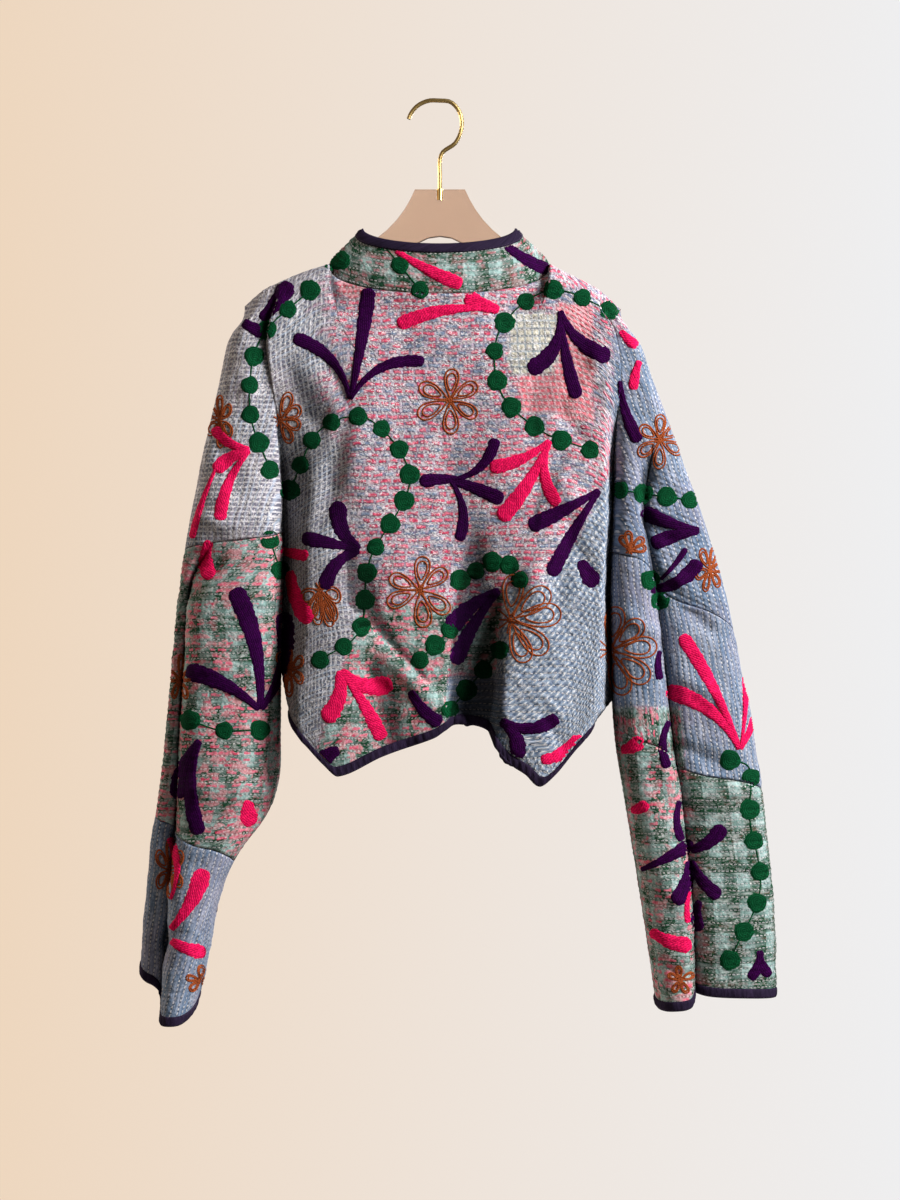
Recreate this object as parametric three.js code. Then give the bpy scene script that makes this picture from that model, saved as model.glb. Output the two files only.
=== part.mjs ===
// Quilted suzani jacket on a clear plate hanger with a wire hook.
// Millimetres, +Z up, the jacket's back faces -Y, and the origin is under the crown of the hook.
import * as THREE from 'three';

// ---- Cloth ----
const clothWall = 2.4;       // quilted cotton, several layers thick
const quiltRise = 0.8;       // how far a quilted ridge stands out of the cloth
const seamGap = 0.3;         // between two sewn pieces
const seamStep = 1.3;        // the same gap measured down a sloping seam
const bindingWidth = 10;
const bindingWall = 3.8;
const frontGap = { neck: 4, hem: 9 };   // between the two open front edges
const frontCentre = 4;       // where the middle of that gap hangs
const frontTurn = { left: 22, right: 20 };   // from a side seam to where a front lies flat

// ---- Neck and collar ----
const neckCentre = 2.5;
const neckHalf = 114.5;
const neckSide = -168;       // height of the seam at the shoulder
const neckBack = { drop: 36, deep: 34, round: 0.4 };
const neckFront = { drop: 48, deep: 32, round: 0.6 };
const collarTop = {
  centre: 2, half: 78.5, side: -131, backDrop: 21, frontDrop: 27, deep: 30, bulge: 2.5,
};

// ---- How the grids are divided ----
const riseShare = 0.125;     // share of the body's columns that climb out of the fold beside a sleeve
const neckShare = 0.25;      // share of them before the neck
const count = {
  back: { sleeve: 9, body: 32, upper: 20, lower: 14 },
  front: { sleeve: 6, body: 24, upper: 20, lower: 14 },
  sleeve: { near: 9, far: 6, upper: 20, lower: 12 },
  collar: 4,
};

const table = (names, ...rows) => {
  const keys = names.split(' ');
  return rows.map((row) => Object.fromEntries(keys.map((key, i) => [key, row[i]])));
};

// A row for each section of a sleeve, by its height: the outer edge, the groove that splits its
// back into two folds, the inner edge, and how far the inner fold, the outer fold, the groove and
// the front stand off the middle plane. "grooved" says how much of the groove there is.
const leftSleeve = table('z out split inn near outer dent far grooved',
  [-212, -200, -190, -165, 22, 14, 8, 22, 0],
  [-240, -215, -203, -168, 25, 16, 8, 24, 0],
  [-300, -228, -214, -166, 31, 18, 8, 28, 0],
  [-380, -245, -235, -162, 37, 18, 8, 32, 0],
  [-445, -258, -248, -160, 41, 18, 8, 34, 0],
  [-500, -266, -253, -159, 43, 18, 7, 36, 1],
  [-580, -275, -261, -162, 45, 18, 6, 38, 1],
  [-660, -281, -266, -163, 46, 20, 6, 40, 1],
  [-700, -286, -267, -164, 47, 20, 6, 42, 1],
  [-740, -292, -269, -177, 48, 22, 6, 44, 1],
  [-780, -297, -273, -206, 50, 22, 6, 47, 1],
  [-820, -301, -275, -225, 52, 24, 6, 50, 1],
  [-880, -306, -280, -237, 55, 26, 6, 53, 1],
  [-950, -309, -284, -254, 58, 28, 6, 56, 1]);
const rightSleeve = table('z out split inn near outer dent far grooved',
  [-215, 191, 184, 168, 22, 14, 8, 22, 0],
  [-240, 207, 196, 178, 25, 16, 8, 24, 0],
  [-300, 228, 204, 185, 30, 18, 10, 28, 0],
  [-360, 250, 207, 184, 36, 20, 10, 32, 0.3],
  [-420, 272, 213, 183, 40, 24, 9, 34, 1],
  [-500, 297, 224, 179, 42, 27, 8, 36, 1],
  [-580, 314, 234, 181, 45, 29, 8, 38, 1],
  [-660, 329, 243, 185, 46, 30, 8, 40, 1],
  [-740, 340, 254, 198, 46, 31, 8, 40, 1],
  [-860, 351, 265, 217, 47, 33, 8, 40, 1],
  [-950, 351, 265, 230, 48, 34, 8, 40, 1]);

// A row for each section of the body: where its back turns into the folds beside the sleeves,
// how deep those folds are, and how far the back and the fronts stand off the middle plane.
const body = table('z edgeL edgeR floor back front',
  [-205, -130, 135, 18, 27, 26],
  [-240, -112, 150, 20, 31, 28],
  [-300, -106, 168, 14, 33, 30],
  [-380, -119, 171, 7, 35, 32],
  [-460, -128, 170, 4, 38, 33],
  [-540, -130, 166, 3, 44, 35],
  [-590, -135, 163, 2.8, 48, 38],
  [-620, -138, 159, 2.8, 51, 40],
  [-660, -136, 147, 2.8, 54, 42],
  [-710, -120, 126, 2.8, 57, 44]);
const underarm = { left: -590, right: -622 };
const valleyFrom = -245;     // the folds beside the sleeves start here
const valleyTo = -350;
const armBlend = { sleeve: 14, body: 8 };    // how far below the underarm the cloth has parted
const underNeck = { from: -250, to: -420 };  // the back's middle column moves to its middle here
const frontHem = -650;
const floorFlatness = 0.85;

// The side of the body below the underarm, at the left and at the right.
const sideLeft = table('z x', [-590, -161.7], [-612, -157], [-645, -151], [-710, -140]);
const sideRight = table('z x', [-622, 181.5], [-632, 172], [-645, 162], [-665, 152], [-710, 140]);

// The shoulder seams, from the sleeve's top to the neck.
const shoulderLeft = table('x z',
  [-200, -212], [-190, -203], [-176, -193], [-140, -177], [-112, neckSide]);
const shoulderRight = table('x z',
  [117, neckSide], [130, -175], [158, -189], [173, -199], [191, -215]);
const sleeveTop = { left: -200, right: 191 };
const armholeTop = { left: -163, right: 168 };   // where the seams pass over the armholes

// Lower edge of the bound hem, by the share of the body's columns from its left side.
const hemBack = table('s z', [0, -640], [0.07, -649], [0.125, -661], [0.165, -682], [0.2, -695],
  [0.341, -675], [0.477, -657], [0.515, -647], [0.546, -645], [0.618, -651], [0.649, -668],
  [0.685, -681], [0.747, -693], [0.803, -705], [0.838, -692], [0.875, -664], [0.93, -656], [1, -652]);
const hemFront = table('s z', [0, -640], [0.125, -643], [0.5, -647], [0.875, -650], [1, -652]);

// Sewn and bound edges across a sleeve: t is 0 at the outer edge and 1 at the inner one.
const seams = {
  leftUpper: table('t near far', [0, -466, -466], [0.5, -457, -456], [1, -446, -446]),
  rightUpper: table('t near far', [0, -552, -552], [0.44, -498, -498], [0.7, -474, -480],
    [1, -467, -467]),
  leftLower: table('t near far', [0, -738, -738], [0.5, -756, -754], [1, -788, -788]),
  rightLower: table('t near far', [0, -714, -714], [0.44, -685, -690], [1, -640, -640]),
  leftCuff: table('t near far', [0, -900, -900], [0.3, -918, -898], [0.45, -944, -908],
    [0.7, -949, -922], [1, -944, -944]),
  rightCuff: table('t near far', [0, -928, -928], [0.3, -924, -930], [0.44, -922, -932],
    [0.6, -933, -934], [1, -939, -939]),
};

// The deep pleat between the back's two flared folds, between its left and right walls.
const pleat = table('z left right soft deep',
  [-430, 42, 44, 26, 0],
  [-500, 24, 60, 24, 5],
  [-540, 18, 66, 18, 12],
  [-580, 16, 64, 12, 19],
  [-620, 14, 61, 9, 26],
  [-660, 12, 57, 7, 32],
  [-710, 11, 55, 6, 36]);

// The left flared fold laps over the back along this line, which runs down into the pleat.
const lap = { fromX: -92, fromZ: -520, toX: 16, toZ: -628, high: 9, soft: 7, fade: 45, wide: 140 };

// Soft folds: a row each, from its upper to its lower end, with its half width and height.
const backFolds = table('x0 z0 x1 z1 wide0 wide1 high0 high1',
  [-60, -235, -96, -470, 26, 34, 1, 5],
  [70, -230, 96, -480, 24, 34, 1, 5],
  [8, -225, 30, -420, 24, 30, 1, -4],
  [-150, -215, -120, -330, 18, 20, 2, -5],
  [182, -222, 150, -330, 14, 22, 2, 5],
  [196, -236, 168, -300, 10, 14, 2, -4],
  [100, -560, 92, -705, 26, 34, 1, 7],
  [-88, -600, -98, -700, 22, 30, 1, 6]);
const frontFolds = table('x0 z0 x1 z1 wide0 wide1 high0 high1',
  [-70, -240, -92, -650, 24, 34, 2, 11],
  [-30, -330, -46, -650, 20, 26, 0, -7],
  [78, -240, 100, -650, 24, 34, 2, 11],
  [36, -330, 52, -650, 20, 26, 0, -7],
  [-130, -380, -128, -640, 16, 22, 0, 6],
  [140, -380, 138, -645, 16, 22, 0, 6]);

// ---- Small maths ----
const mix = (a, b, t) => a + (b - a) * t;
const clamp = (t) => Math.min(1, Math.max(0, t));
const smooth = (t) => clamp(t) ** 2 * (3 - 2 * clamp(t));
const between = (from, to, v) => smooth((v - from) / (to - from));

// Reads a column of a table at a place, along a smooth curve through its rows.
function read(rows, key, column, at) {
  const up = rows[rows.length - 1][key] > rows[0][key];
  const k = rows.map((row) => (up ? row[key] : -row[key]));
  const v = rows.map((row) => row[column]);
  const x = Math.min(k[k.length - 1], Math.max(k[0], up ? at : -at));
  let i = 0;
  while (i < k.length - 2 && x > k[i + 1]) i += 1;
  const slope = (j) => {
    const a = Math.max(0, j - 1);
    const b = Math.min(k.length - 1, j + 1);
    return (v[b] - v[a]) / (k[b] - k[a]);
  };
  const h = k[i + 1] - k[i];
  const t = (x - k[i]) / h;
  const t2 = t * t;
  const t3 = t2 * t;
  return (2 * t3 - 3 * t2 + 1) * v[i] + (t3 - 2 * t2 + t) * h * slope(i)
    + (3 * t2 - 2 * t3) * v[i + 1] + (t3 - t2) * h * slope(i + 1);
}

// A rounded hump: across runs 0 to 1 with t, and high rises to 1 and falls again.
const humpPower = 0.75;
const hump = (t) => {
  const c = Math.cos(Math.PI * t);
  return {
    across: 0.5 - 0.5 * Math.sign(c) * Math.abs(c) ** humpPower,
    high: Math.max(0, Math.sin(Math.PI * t)) ** humpPower,
  };
};

function foldHeight(folds, x, z) {
  let sum = 0;
  for (const f of folds) {
    const t = (z - f.z0) / (f.z1 - f.z0);
    const start = smooth(t * 4 + 0.5);
    const c = Math.max(0, t);
    const wide = mix(f.wide0, f.wide1, Math.min(1, c));
    const off = (x - mix(f.x0, f.x1, c)) / wide;
    sum += start * mix(f.high0, f.high1, Math.min(1, c)) * Math.exp(-off * off);
  }
  return sum;
}

function lapHeight(x, z) {
  const dx = lap.toX - lap.fromX;
  const dz = lap.toZ - lap.fromZ;
  const length = Math.hypot(dx, dz);
  const along = ((x - lap.fromX) * dx + (z - lap.fromZ) * dz) / length;
  const across = ((x - lap.fromX) * dz - (z - lap.fromZ) * dx) / length;
  const start = smooth((along + 10) / lap.fade);
  const below = clamp(1 - Math.abs(across) / lap.wide);
  return lap.high * start * smooth(across / lap.soft + 0.5) * below;
}

// ---- The cloth's surface ----
// side is -1 for the back and 1 for the fronts. c runs across: 0 to 1 over the left sleeve, 1 to 2
// over the body and 2 to 3 over the right sleeve, with 0 and 3 on the sleeves' outer edges.

function neckPoint(side, s) {
  const angle = Math.PI * clamp((s - neckShare) / (1 - 2 * neckShare));
  const shape = side < 0 ? neckBack : neckFront;
  const q = -Math.cos(angle);
  const out = Math.sqrt(Math.max(0, 1 - q * q));
  return {
    x: neckCentre + neckHalf * q,
    y: side * shape.deep * out,
    z: neckSide - shape.drop * (1 - q * q) ** shape.round,
    out,
  };
}

// The upper edge: the shoulder seams, and the neck seam between them.
function topEdge(side, c) {
  const s = c - 1;
  const onSeam = (rows, x) => ({ x, y: 0, z: read(rows, 'x', 'z', x), out: 0 });
  if (c < 1) return onSeam(shoulderLeft, mix(sleeveTop.left, armholeTop.left, c));
  if (c > 2) return onSeam(shoulderRight, mix(armholeTop.right, sleeveTop.right, c - 2));
  if (s < neckShare) {
    return onSeam(shoulderLeft, mix(armholeTop.left, neckCentre - neckHalf, s / neckShare));
  }
  if (s > 1 - neckShare) {
    return onSeam(shoulderRight, mix(armholeTop.right, neckCentre + neckHalf, (1 - s) / neckShare));
  }
  return neckPoint(side, s);
}

const valleyAt = (z) => between(valleyFrom, valleyTo, z);

const turn = 4 / 9;          // the groove's place across the back of a sleeve
const outerFullness = 0.8;   // of the outer fold's height that it keeps beside the groove

function sleeveSection(side, isLeft, t, z) {
  const rows = isLeft ? leftSleeve : rightSleeve;
  const at = (column) => read(rows, 'z', column, z);
  const arm = isLeft ? underarm.left : underarm.right;
  const joined = between(arm - armBlend.sleeve, arm, z);
  const floor = mix(seamGap / 2, read(body, 'z', 'floor', z) + seamGap, joined);
  const out = at('out');
  const inn = at('inn');
  const high = side < 0 ? at('near') : at('far');
  const h = hump(t);
  const dip = t < 0.5 ? 0 : floor * (1 - h.high);
  const single = {
    x: mix(out, inn, h.across),
    y: t < 0.5 ? high * h.high : mix(high, high * h.high + dip, valleyAt(z)),
  };
  const grooved = side < 0 ? at('grooved') : 0;
  if (grooved <= 0) return { x: single.x, y: side * single.y };
  const split = at('split');
  const dent = at('dent');
  let lobed;
  if (t < turn) {
    const a = hump(t / turn);
    const lift = at('outer') * a.high * outerFullness;
    lobed = { x: mix(out, split, a.across), y: dent * (t / turn) + lift };
  } else {
    const b = (t - turn) / (1 - turn);
    const a = hump(b);
    lobed = { x: mix(split, inn, a.across), y: mix(dent, floor, b) + (high - dent) * a.high };
  }
  return { x: mix(single.x, lobed.x, grooved), y: side * mix(single.y, lobed.y, grooved) };
}

// Where the body meets the sleeves, and below the underarms its own sides.
function bodySides(z) {
  return {
    left: z > underarm.left ? read(leftSleeve, 'z', 'inn', z) + seamGap : read(sideLeft, 'z', 'x', z),
    right: z > underarm.right ? read(rightSleeve, 'z', 'inn', z) - seamGap
      : read(sideRight, 'z', 'x', z),
  };
}

function bodySection(side, s, z, half) {
  const at = (column) => read(body, 'z', column, z);
  const { left: seamL, right: seamR } = bodySides(z);
  const isBack = side < 0;
  const edgeL = isBack ? at('edgeL') : seamL + frontTurn.left;
  const edgeR = isBack ? at('edgeR') : seamR - frontTurn.right;
  const centred = between(underNeck.from, underNeck.to, z);
  const open = mix(frontGap.neck, frontGap.hem, between(neckSide, frontHem, z)) / 2;
  const middle = isBack ? mix(neckCentre, (edgeL + edgeR) / 2, centred)
    : frontCentre + half * (open + bindingWidth + seamGap);
  let x;
  let rise = 1;
  let isLeft = true;
  const turned = (share) => 1 - Math.cos((share / riseShare) * Math.PI / 2);
  if (s < riseShare) {
    rise = turned(s);
    x = mix(seamL, edgeL, rise);
  } else if (s > 1 - riseShare) {
    rise = turned(1 - s);
    x = mix(seamR, edgeR, rise);
    isLeft = false;
  } else if (s <= 0.5) {
    x = mix(edgeL, middle, (s - riseShare) / (0.5 - riseShare));
  } else {
    x = mix(middle, edgeR, (s - 0.5) / (0.5 - riseShare));
  }
  let high = isBack ? at('back') : at('front');
  high += foldHeight(isBack ? backFolds : frontFolds, x, z);
  if (isBack) {
    const p = (column) => read(pleat, 'z', column, z);
    const leftWall = smooth((x - p('left')) / p('soft') + 0.5);
    const rightWall = smooth((p('right') - x) / p('soft') + 0.5);
    high += lapHeight(x, z) - p('deep') * leftWall * rightWall;
  }
  // Above the underarm the fold beside the sleeve has a flat floor; below it the side is round.
  const arm = isLeft ? underarm.left : underarm.right;
  const joined = between(arm - armBlend.body, arm, z);
  const round = Math.sqrt(1 - (1 - rise) ** 2);
  const climb = mix(round, mix(round, smooth(rise), floorFlatness), joined);
  const floor = mix(seamGap / 2, at('floor'), joined);
  const y = mix(mix(high, floor, valleyAt(z)), high, climb);
  return { x, y: side * Math.max(y, seamGap / 2) };
}

const shoulderRoll = 26;     // how far down the cloth takes to turn over the shoulder
const neckRoll = 55;         // and to fall straight from the neck seam
const settle = { columns: 140, outline: 40 };   // how far down these take to reach their places

// How near the middle a front's neck may come, so that it leaves room for its binding.
const frontLimit = (half) => frontCentre + half * (frontGap.neck / 2 + bindingWidth + seamGap);

// A point of the cloth's outer face, across at c and at height z.
function cloth(side, c, z, half = 0) {
  const top = topEdge(side, c);
  const down = Math.max(0, top.z - z);
  let place;
  if (c < 1) place = sleeveSection(side, true, c, z);
  else if (c > 2) place = sleeveSection(side, false, 3 - c, z);
  else place = bodySection(side, c - 1, z, half);
  const left = read(leftSleeve, 'z', 'out', z);
  const right = read(rightSleeve, 'z', 'out', z);
  const wide = (x, a, b) => (x - a) / (b - a);
  const inNeck = c > 1 + neckShare && c < 2 - neckShare;
  let topX = top.x;
  if (half < 0 && inNeck) topX = Math.min(top.x, frontLimit(half));
  if (half > 0 && inNeck) topX = Math.max(top.x, frontLimit(half));
  const topShare = wide(topX, sleeveTop.left, sleeveTop.right);
  const share = mix(topShare, wide(place.x, left, right), smooth(down / settle.columns));
  const near = smooth(down / settle.outline);
  const turned = clamp(down / shoulderRoll);
  const roll = mix(Math.sqrt(1 - (1 - turned) ** 2), smooth(down / neckRoll), top.out);
  const isEdge = c <= 0 || c >= 3;
  const y = isEdge ? side * seamGap / 2 : mix(top.y, place.y, roll);
  const x = mix(mix(sleeveTop.left, left, near), mix(sleeveTop.right, right, near), share);
  return new THREE.Vector3(x, side * Math.max(side * y, seamGap / 2), z);
}

// Straight into the cloth from a point of its outer face, where two sewn pieces share an edge.
function inwardAt(side, c, z, half = 0) {
  const t = c < 1 ? c : 3 - c;
  if (side < 0 && Math.abs(t - turn) < 0.01) return new THREE.Vector3(0, 1, 0);
  const zone = c < 1 ? [0, 1 - 1e-9] : c > 2 ? [2 + 1e-9, 3] : [1, 2];
  const reach = { c: 0.02, z: 3 };
  const a = cloth(side, Math.max(zone[0], c - reach.c), z, half);
  const b = cloth(side, Math.min(zone[1], c + reach.c), z, half);
  const down = cloth(side, c, z - reach.z, half).sub(cloth(side, c, z + reach.z, half));
  return b.sub(a).cross(down).normalize().multiplyScalar(-side);
}

// ---- From points to a closed wall ----
// points[row][column] is the outer face, or null where there is no cloth. The inner face has every
// second row. A point's own inward direction is used where it has one. The whole outer face stands
// proud of the points, rise(row, column) lifts it further, and keep(point, column) holds a point on
// its own side of a seam.
function buildWall(points, { wall = clothWall, proud = 0, rise = () => 0, keep = (p) => p }) {
  const rows = points.length;
  const columns = points[0].length;
  const has = (i, j) => i >= 0 && j >= 0 && i < rows && j < columns && points[i][j] !== null;
  const normal = (i, j) => {
    const step = (di, dj) => {
      const a = has(i + di, j + dj) ? points[i + di][j + dj] : points[i][j];
      const b = has(i - di, j - dj) ? points[i - di][j - dj] : points[i][j];
      return a.clone().sub(b);
    };
    return step(0, 1).cross(step(1, 0)).normalize();
  };
  const position = [];
  const index = [];
  const outer = points.map((row) => row.map(() => -1));
  const inner = points.map((row) => row.map(() => -1));
  const put = (p) => position.push(p.x, p.y, p.z) / 3 - 1;
  for (let i = 0; i < rows; i += 1) {
    for (let j = 0; j < columns; j += 1) {
      if (points[i][j] === null) continue;
      const n = points[i][j].inward ?? normal(i, j);
      const p = points[i][j];
      const onEdge = !has(i - 1, j) || !has(i + 1, j) || !has(i, j - 1) || !has(i, j + 1);
      outer[i][j] = put(keep(p.clone().addScaledVector(n, -proud - (onEdge ? 0 : rise(i, j))), j));
      if (i % 2 === 0) inner[i][j] = put(keep(p.clone().addScaledVector(n, wall - proud), j));
    }
  }
  const cell = (i, j, h) => has(i, j) && has(i, j + 1) && has(i + h, j) && has(i + h, j + 1);
  const add = (a, b, c) => index.push(a, b, c);
  for (let i = 0; i < rows - 1; i += 1) {
    for (let j = 0; j < columns - 1; j += 1) {
      if (!cell(i, j, 1)) continue;
      add(outer[i][j], outer[i + 1][j], outer[i][j + 1]);
      add(outer[i][j + 1], outer[i + 1][j], outer[i + 1][j + 1]);
    }
  }
  for (let i = 0; i < rows - 2; i += 2) {
    for (let j = 0; j < columns - 1; j += 1) {
      if (!cell(i, j, 1)) continue;
      const a = inner[i][j];
      const b = inner[i][j + 1];
      const c = inner[i + 2][j];
      const d = inner[i + 2][j + 1];
      add(a, b, c);
      add(b, d, c);
      if (!cell(i, j - 1, 1)) {
        add(outer[i][j], a, outer[i + 1][j]);
        add(outer[i + 1][j], a, c);
        add(outer[i + 1][j], c, outer[i + 2][j]);
      }
      if (!cell(i, j + 1, 1)) {
        add(outer[i][j + 1], outer[i + 1][j + 1], b);
        add(outer[i + 1][j + 1], d, b);
        add(outer[i + 1][j + 1], outer[i + 2][j + 1], d);
      }
      if (!cell(i - 2, j, 1)) {
        add(outer[i][j], outer[i][j + 1], a);
        add(outer[i][j + 1], b, a);
      }
      if (!cell(i + 2, j, 1)) {
        add(outer[i + 2][j], c, outer[i + 2][j + 1]);
        add(outer[i + 2][j + 1], c, d);
      }
    }
  }
  const geometry = new THREE.BufferGeometry();
  geometry.setAttribute('position', new THREE.Float32BufferAttribute(position, 3));
  geometry.setIndex(index);
  return geometry;
}

const steps = (n) => Array.from({ length: n + 1 }, (_, i) => i / n);

// ---- Materials ----
function finish(color, roughness, metalness = 0) {
  return new THREE.MeshStandardMaterial({ color, roughness, metalness });
}
const quilt = finish(0x9aa6bd, 0.9);
const plaid = finish(0x7f9a93, 0.9);
const indigo = finish(0x7f90ad, 0.9);
const aubergine = finish(0x2b1f3d, 0.85);
const acrylic = finish(0xb59a8a, 0.15);
const brass = finish(0xc9a24a, 0.3, 1);

const jacket = new THREE.Group();
function addPiece(name, geometry, material) {
  const mesh = new THREE.Mesh(geometry, material);
  mesh.name = name;
  jacket.add(mesh);
}

// ---- Back and fronts ----
// Inward from the front edges and their bindings.
const straightBack = () => new THREE.Vector3(0, -1, 0);

function seamHeight(name, side, t) {
  return read(seams[name], 't', side < 0 ? 'near' : 'far', t);
}

// Where the grown-on sleeves end, and the same level carried across the body.
function upperEnd(side, c) {
  if (c < 1) return seamHeight('leftUpper', side, c);
  if (c > 2) return seamHeight('rightUpper', side, 3 - c);
  return mix(seamHeight('leftUpper', side, 1), seamHeight('rightUpper', side, 1), c - 1);
}

const hemEdge = (side, s) => read(side < 0 ? hemBack : hemFront, 's', 'z', s);

// How far above its binding the cloth ends, so that the gap is the same where the hem is steep.
function hemStep(side, s) {
  const reach = 0.01;
  const a = Math.max(0, s - reach);
  const b = Math.min(1, s + reach);
  const x = (at) => cloth(side, 1 + at, hemEdge(side, at)).x;
  const slope = Math.abs(hemEdge(side, b) - hemEdge(side, a)) / Math.max(1, x(b) - x(a));
  return seamStep * Math.min(3, Math.hypot(1, slope));
}

// The height of a panel's row: two close rows over the shoulder, and even ones below them.
const overShoulder = [0, 0.012, 0.035];
function rowHeight(side, c, i, size) {
  const end = upperEnd(side, c);
  if (i > size.upper) {
    const hem = hemEdge(side, c - 1) + bindingWidth + hemStep(side, c - 1);
    return mix(end, hem, (i - size.upper) / size.lower);
  }
  const share = i < 3 ? overShoulder[i] : mix(overShoulder[2], 1, (i - 2) / (size.upper - 2));
  return mix(topEdge(side, c).z, end, share);
}

function panelPoints(side, columns, size, half = 0) {
  const rows = [];
  for (let i = 0; i <= size.upper + size.lower; i += 1) {
    rows.push(columns.map((c) => {
      const inSleeve = c < 1 || c > 2;
      if (i > size.upper && inSleeve) return null;
      return cloth(side, c, rowHeight(side, c, i, size), half);
    }));
  }
  setEdges(rows, side, columns, size, half);
  return rows;
}

// Gives the edges the inward directions that they share with the pieces sewn to them.
function setEdges(rows, side, columns, size, half) {
  const last = columns.length - 1;
  rows.forEach((row, i) => row.forEach((p, j) => {
    if (p === null) return;
    const c = columns[j];
    const inSleeve = c < 1 || c > 2;
    const isNeck = c >= 1 + neckShare - 1e-6 && c <= 2 - neckShare + 1e-6;
    if (i === rows.length - 1 || (i === size.upper && inSleeve)) p.inward = inwardAt(side, c, p.z, half);
    if (c === 0 || c === 3) {
      const a = rows[Math.max(0, i - 1)][j];
      const b = rows[Math.min(size.upper, i + 1)][j];
      const outward = c === 0 ? -1 : 1;
      p.inward = new THREE.Vector3(outward * (b.z - a.z), 0, -outward * (b.x - a.x)).normalize();
      if (i === 0) p.inward.set(-outward, 0, -1).normalize();
    } else if (i === 0 && isNeck) {
      p.inward = new THREE.Vector3(neckCentre - p.x, -p.y, 0).normalize();
    } else if (i === 0) {
      const a = row[Math.max(0, j - 1)];
      const b = row[Math.min(last, j + 1)];
      p.inward = new THREE.Vector3(b.z - a.z, 0, a.x - b.x).normalize();
      if (p.inward.z > 0) p.inward.negate();
    }
    if ((c === 1 || c === 2) && i >= size.upper && i < rows.length - 1) {
      const arm = c === 1 ? underarm.left : underarm.right;
      const joined = between(arm - armBlend.body, arm, p.z);
      p.inward = new THREE.Vector3((c === 1 ? 1 : -1) * (1 - joined), -side * joined, 0).normalize();
    }
    if (c === 1.5 && half !== 0) p.inward = straightBack();
  }));
}

const onSide = (side) => (p) => {
  p.y = side * Math.max(side * p.y, seamGap / 2);
  return p;
};
const quiltRows = (i) => (i % 2) * quiltRise;

function addBack() {
  const { sleeve, body: across } = count.back;
  const columns = [
    ...steps(sleeve).slice(0, -1),
    ...steps(across).map((s) => 1 + s),
    ...steps(sleeve).slice(1).map((s) => 2 + s),
  ];
  const points = panelPoints(-1, columns, count.back);
  addPiece('back', buildWall(points, { rise: quiltRows, keep: onSide(-1) }), quilt);
}

function addFront(name, half) {
  const { sleeve, body: across } = count.front;
  const halfBody = steps(across / 2).map((s) => s / 2);
  const columns = half < 0
    ? [...steps(sleeve).slice(0, -1), ...halfBody.map((s) => 1 + s)]
    : [...halfBody.map((s) => 1.5 + s), ...steps(sleeve).slice(1).map((s) => 2 + s)];
  const points = panelPoints(1, columns.reverse(), count.front, half);
  addPiece(name, buildWall(points, { rise: quiltRows, keep: onSide(1) }), quilt);
}

// ---- Sleeves ----
// The columns go round from one side of the underarm seam to the other.
function sleeveColumns(isLeft) {
  const near = steps(count.sleeve.near).map((t) => ({ side: -1, t }));
  const far = steps(count.sleeve.far).slice(1).map((t) => ({ side: 1, t }));
  return isLeft ? [...far.reverse(), ...near] : [...near.reverse(), ...far];
}

function sleevePoint(isLeft, { side, t }, z) {
  const toSeam = Math.min(t, 1 - 1e-9);
  const p = cloth(side, isLeft ? toSeam : 3 - toSeam, z);
  if (t === 0) p.y = 0;
  return p;
}

const sleeveWide = 90;       // round half a sleeve, from its outer to its inner edge

// How far below a sloping seam the next piece starts.
function sleeveStep(name, { side, t }) {
  const reach = 0.06;
  const above = seamHeight(name, side, Math.max(0, t - reach));
  const below = seamHeight(name, side, Math.min(1, t + reach));
  return seamStep * Math.hypot(1, (below - above) / (2 * reach * sleeveWide));
}

function sleeveInward(isLeft, { side, t }, z) {
  const toSeam = Math.min(t, 1 - 1e-9);
  const inward = inwardAt(side, isLeft ? toSeam : 3 - toSeam, z);
  if (t === 0) inward.setY(0).normalize();
  return inward;
}

// Holds a sleeve's first and last columns apart at the seam under the arm.
function atSeam(columns) {
  return (p, j) => (j === 0 || j === columns.length - 1 ? onSide(columns[j].side)(p) : p);
}

function addSleeve(name, isLeft, from, to, rows, material) {
  const columns = sleeveColumns(isLeft);
  const points = steps(rows).map((v) => columns.map((column) => {
    const start = seamHeight(from, column.side, column.t) - sleeveStep(from, column);
    const isCuff = to.endsWith('Cuff');
    const end = seamHeight(to, column.side, column.t) + (isCuff ? bindingWidth + seamStep : 0);
    const p = sleevePoint(isLeft, column, mix(start, end, v));
    if (v === 0 || v === 1) p.inward = sleeveInward(isLeft, column, p.z);
    return p;
  }));
  const rise = (i, j) => (j % 2) * quiltRise;
  addPiece(name, buildWall(points, { rise, keep: atSeam(columns) }), material);
}

function addCuff(name, isLeft, edge) {
  const columns = sleeveColumns(isLeft);
  const points = steps(2).map((v) => columns.map((column) => {
    const z = seamHeight(edge, column.side, column.t) + bindingWidth * (1 - v);
    const p = sleevePoint(isLeft, column, z);
    p.inward = sleeveInward(isLeft, column, z);
    return p;
  }));
  addPiece(name, bindingStrip(points, atSeam(columns)), aubergine);
}

const bindingProud = (bindingWall - clothWall) / 2;
const bindingStrip = (points, keep) => buildWall(points, { wall: bindingWall, proud: bindingProud, keep });

// ---- Collar ----
// Columns round the neck, from the left front edge by the back to the right front edge.
function neckColumns() {
  const near = count.back.body * (1 - 2 * neckShare);
  const far = (count.front.body / 2) * (1 - 2 * neckShare);
  const share = (v) => neckShare + v * (1 - 2 * neckShare);
  return [
    ...steps(far).reverse().map((v) => ({ side: 1, half: -1, s: share(v / 2) })).slice(0, -1),
    ...steps(near).map((v) => ({ side: -1, half: 0, s: share(v) })),
    ...steps(far).reverse().map((v) => ({ side: 1, half: 1, s: share(0.5 + v / 2) })).slice(1),
  ];
}

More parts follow.
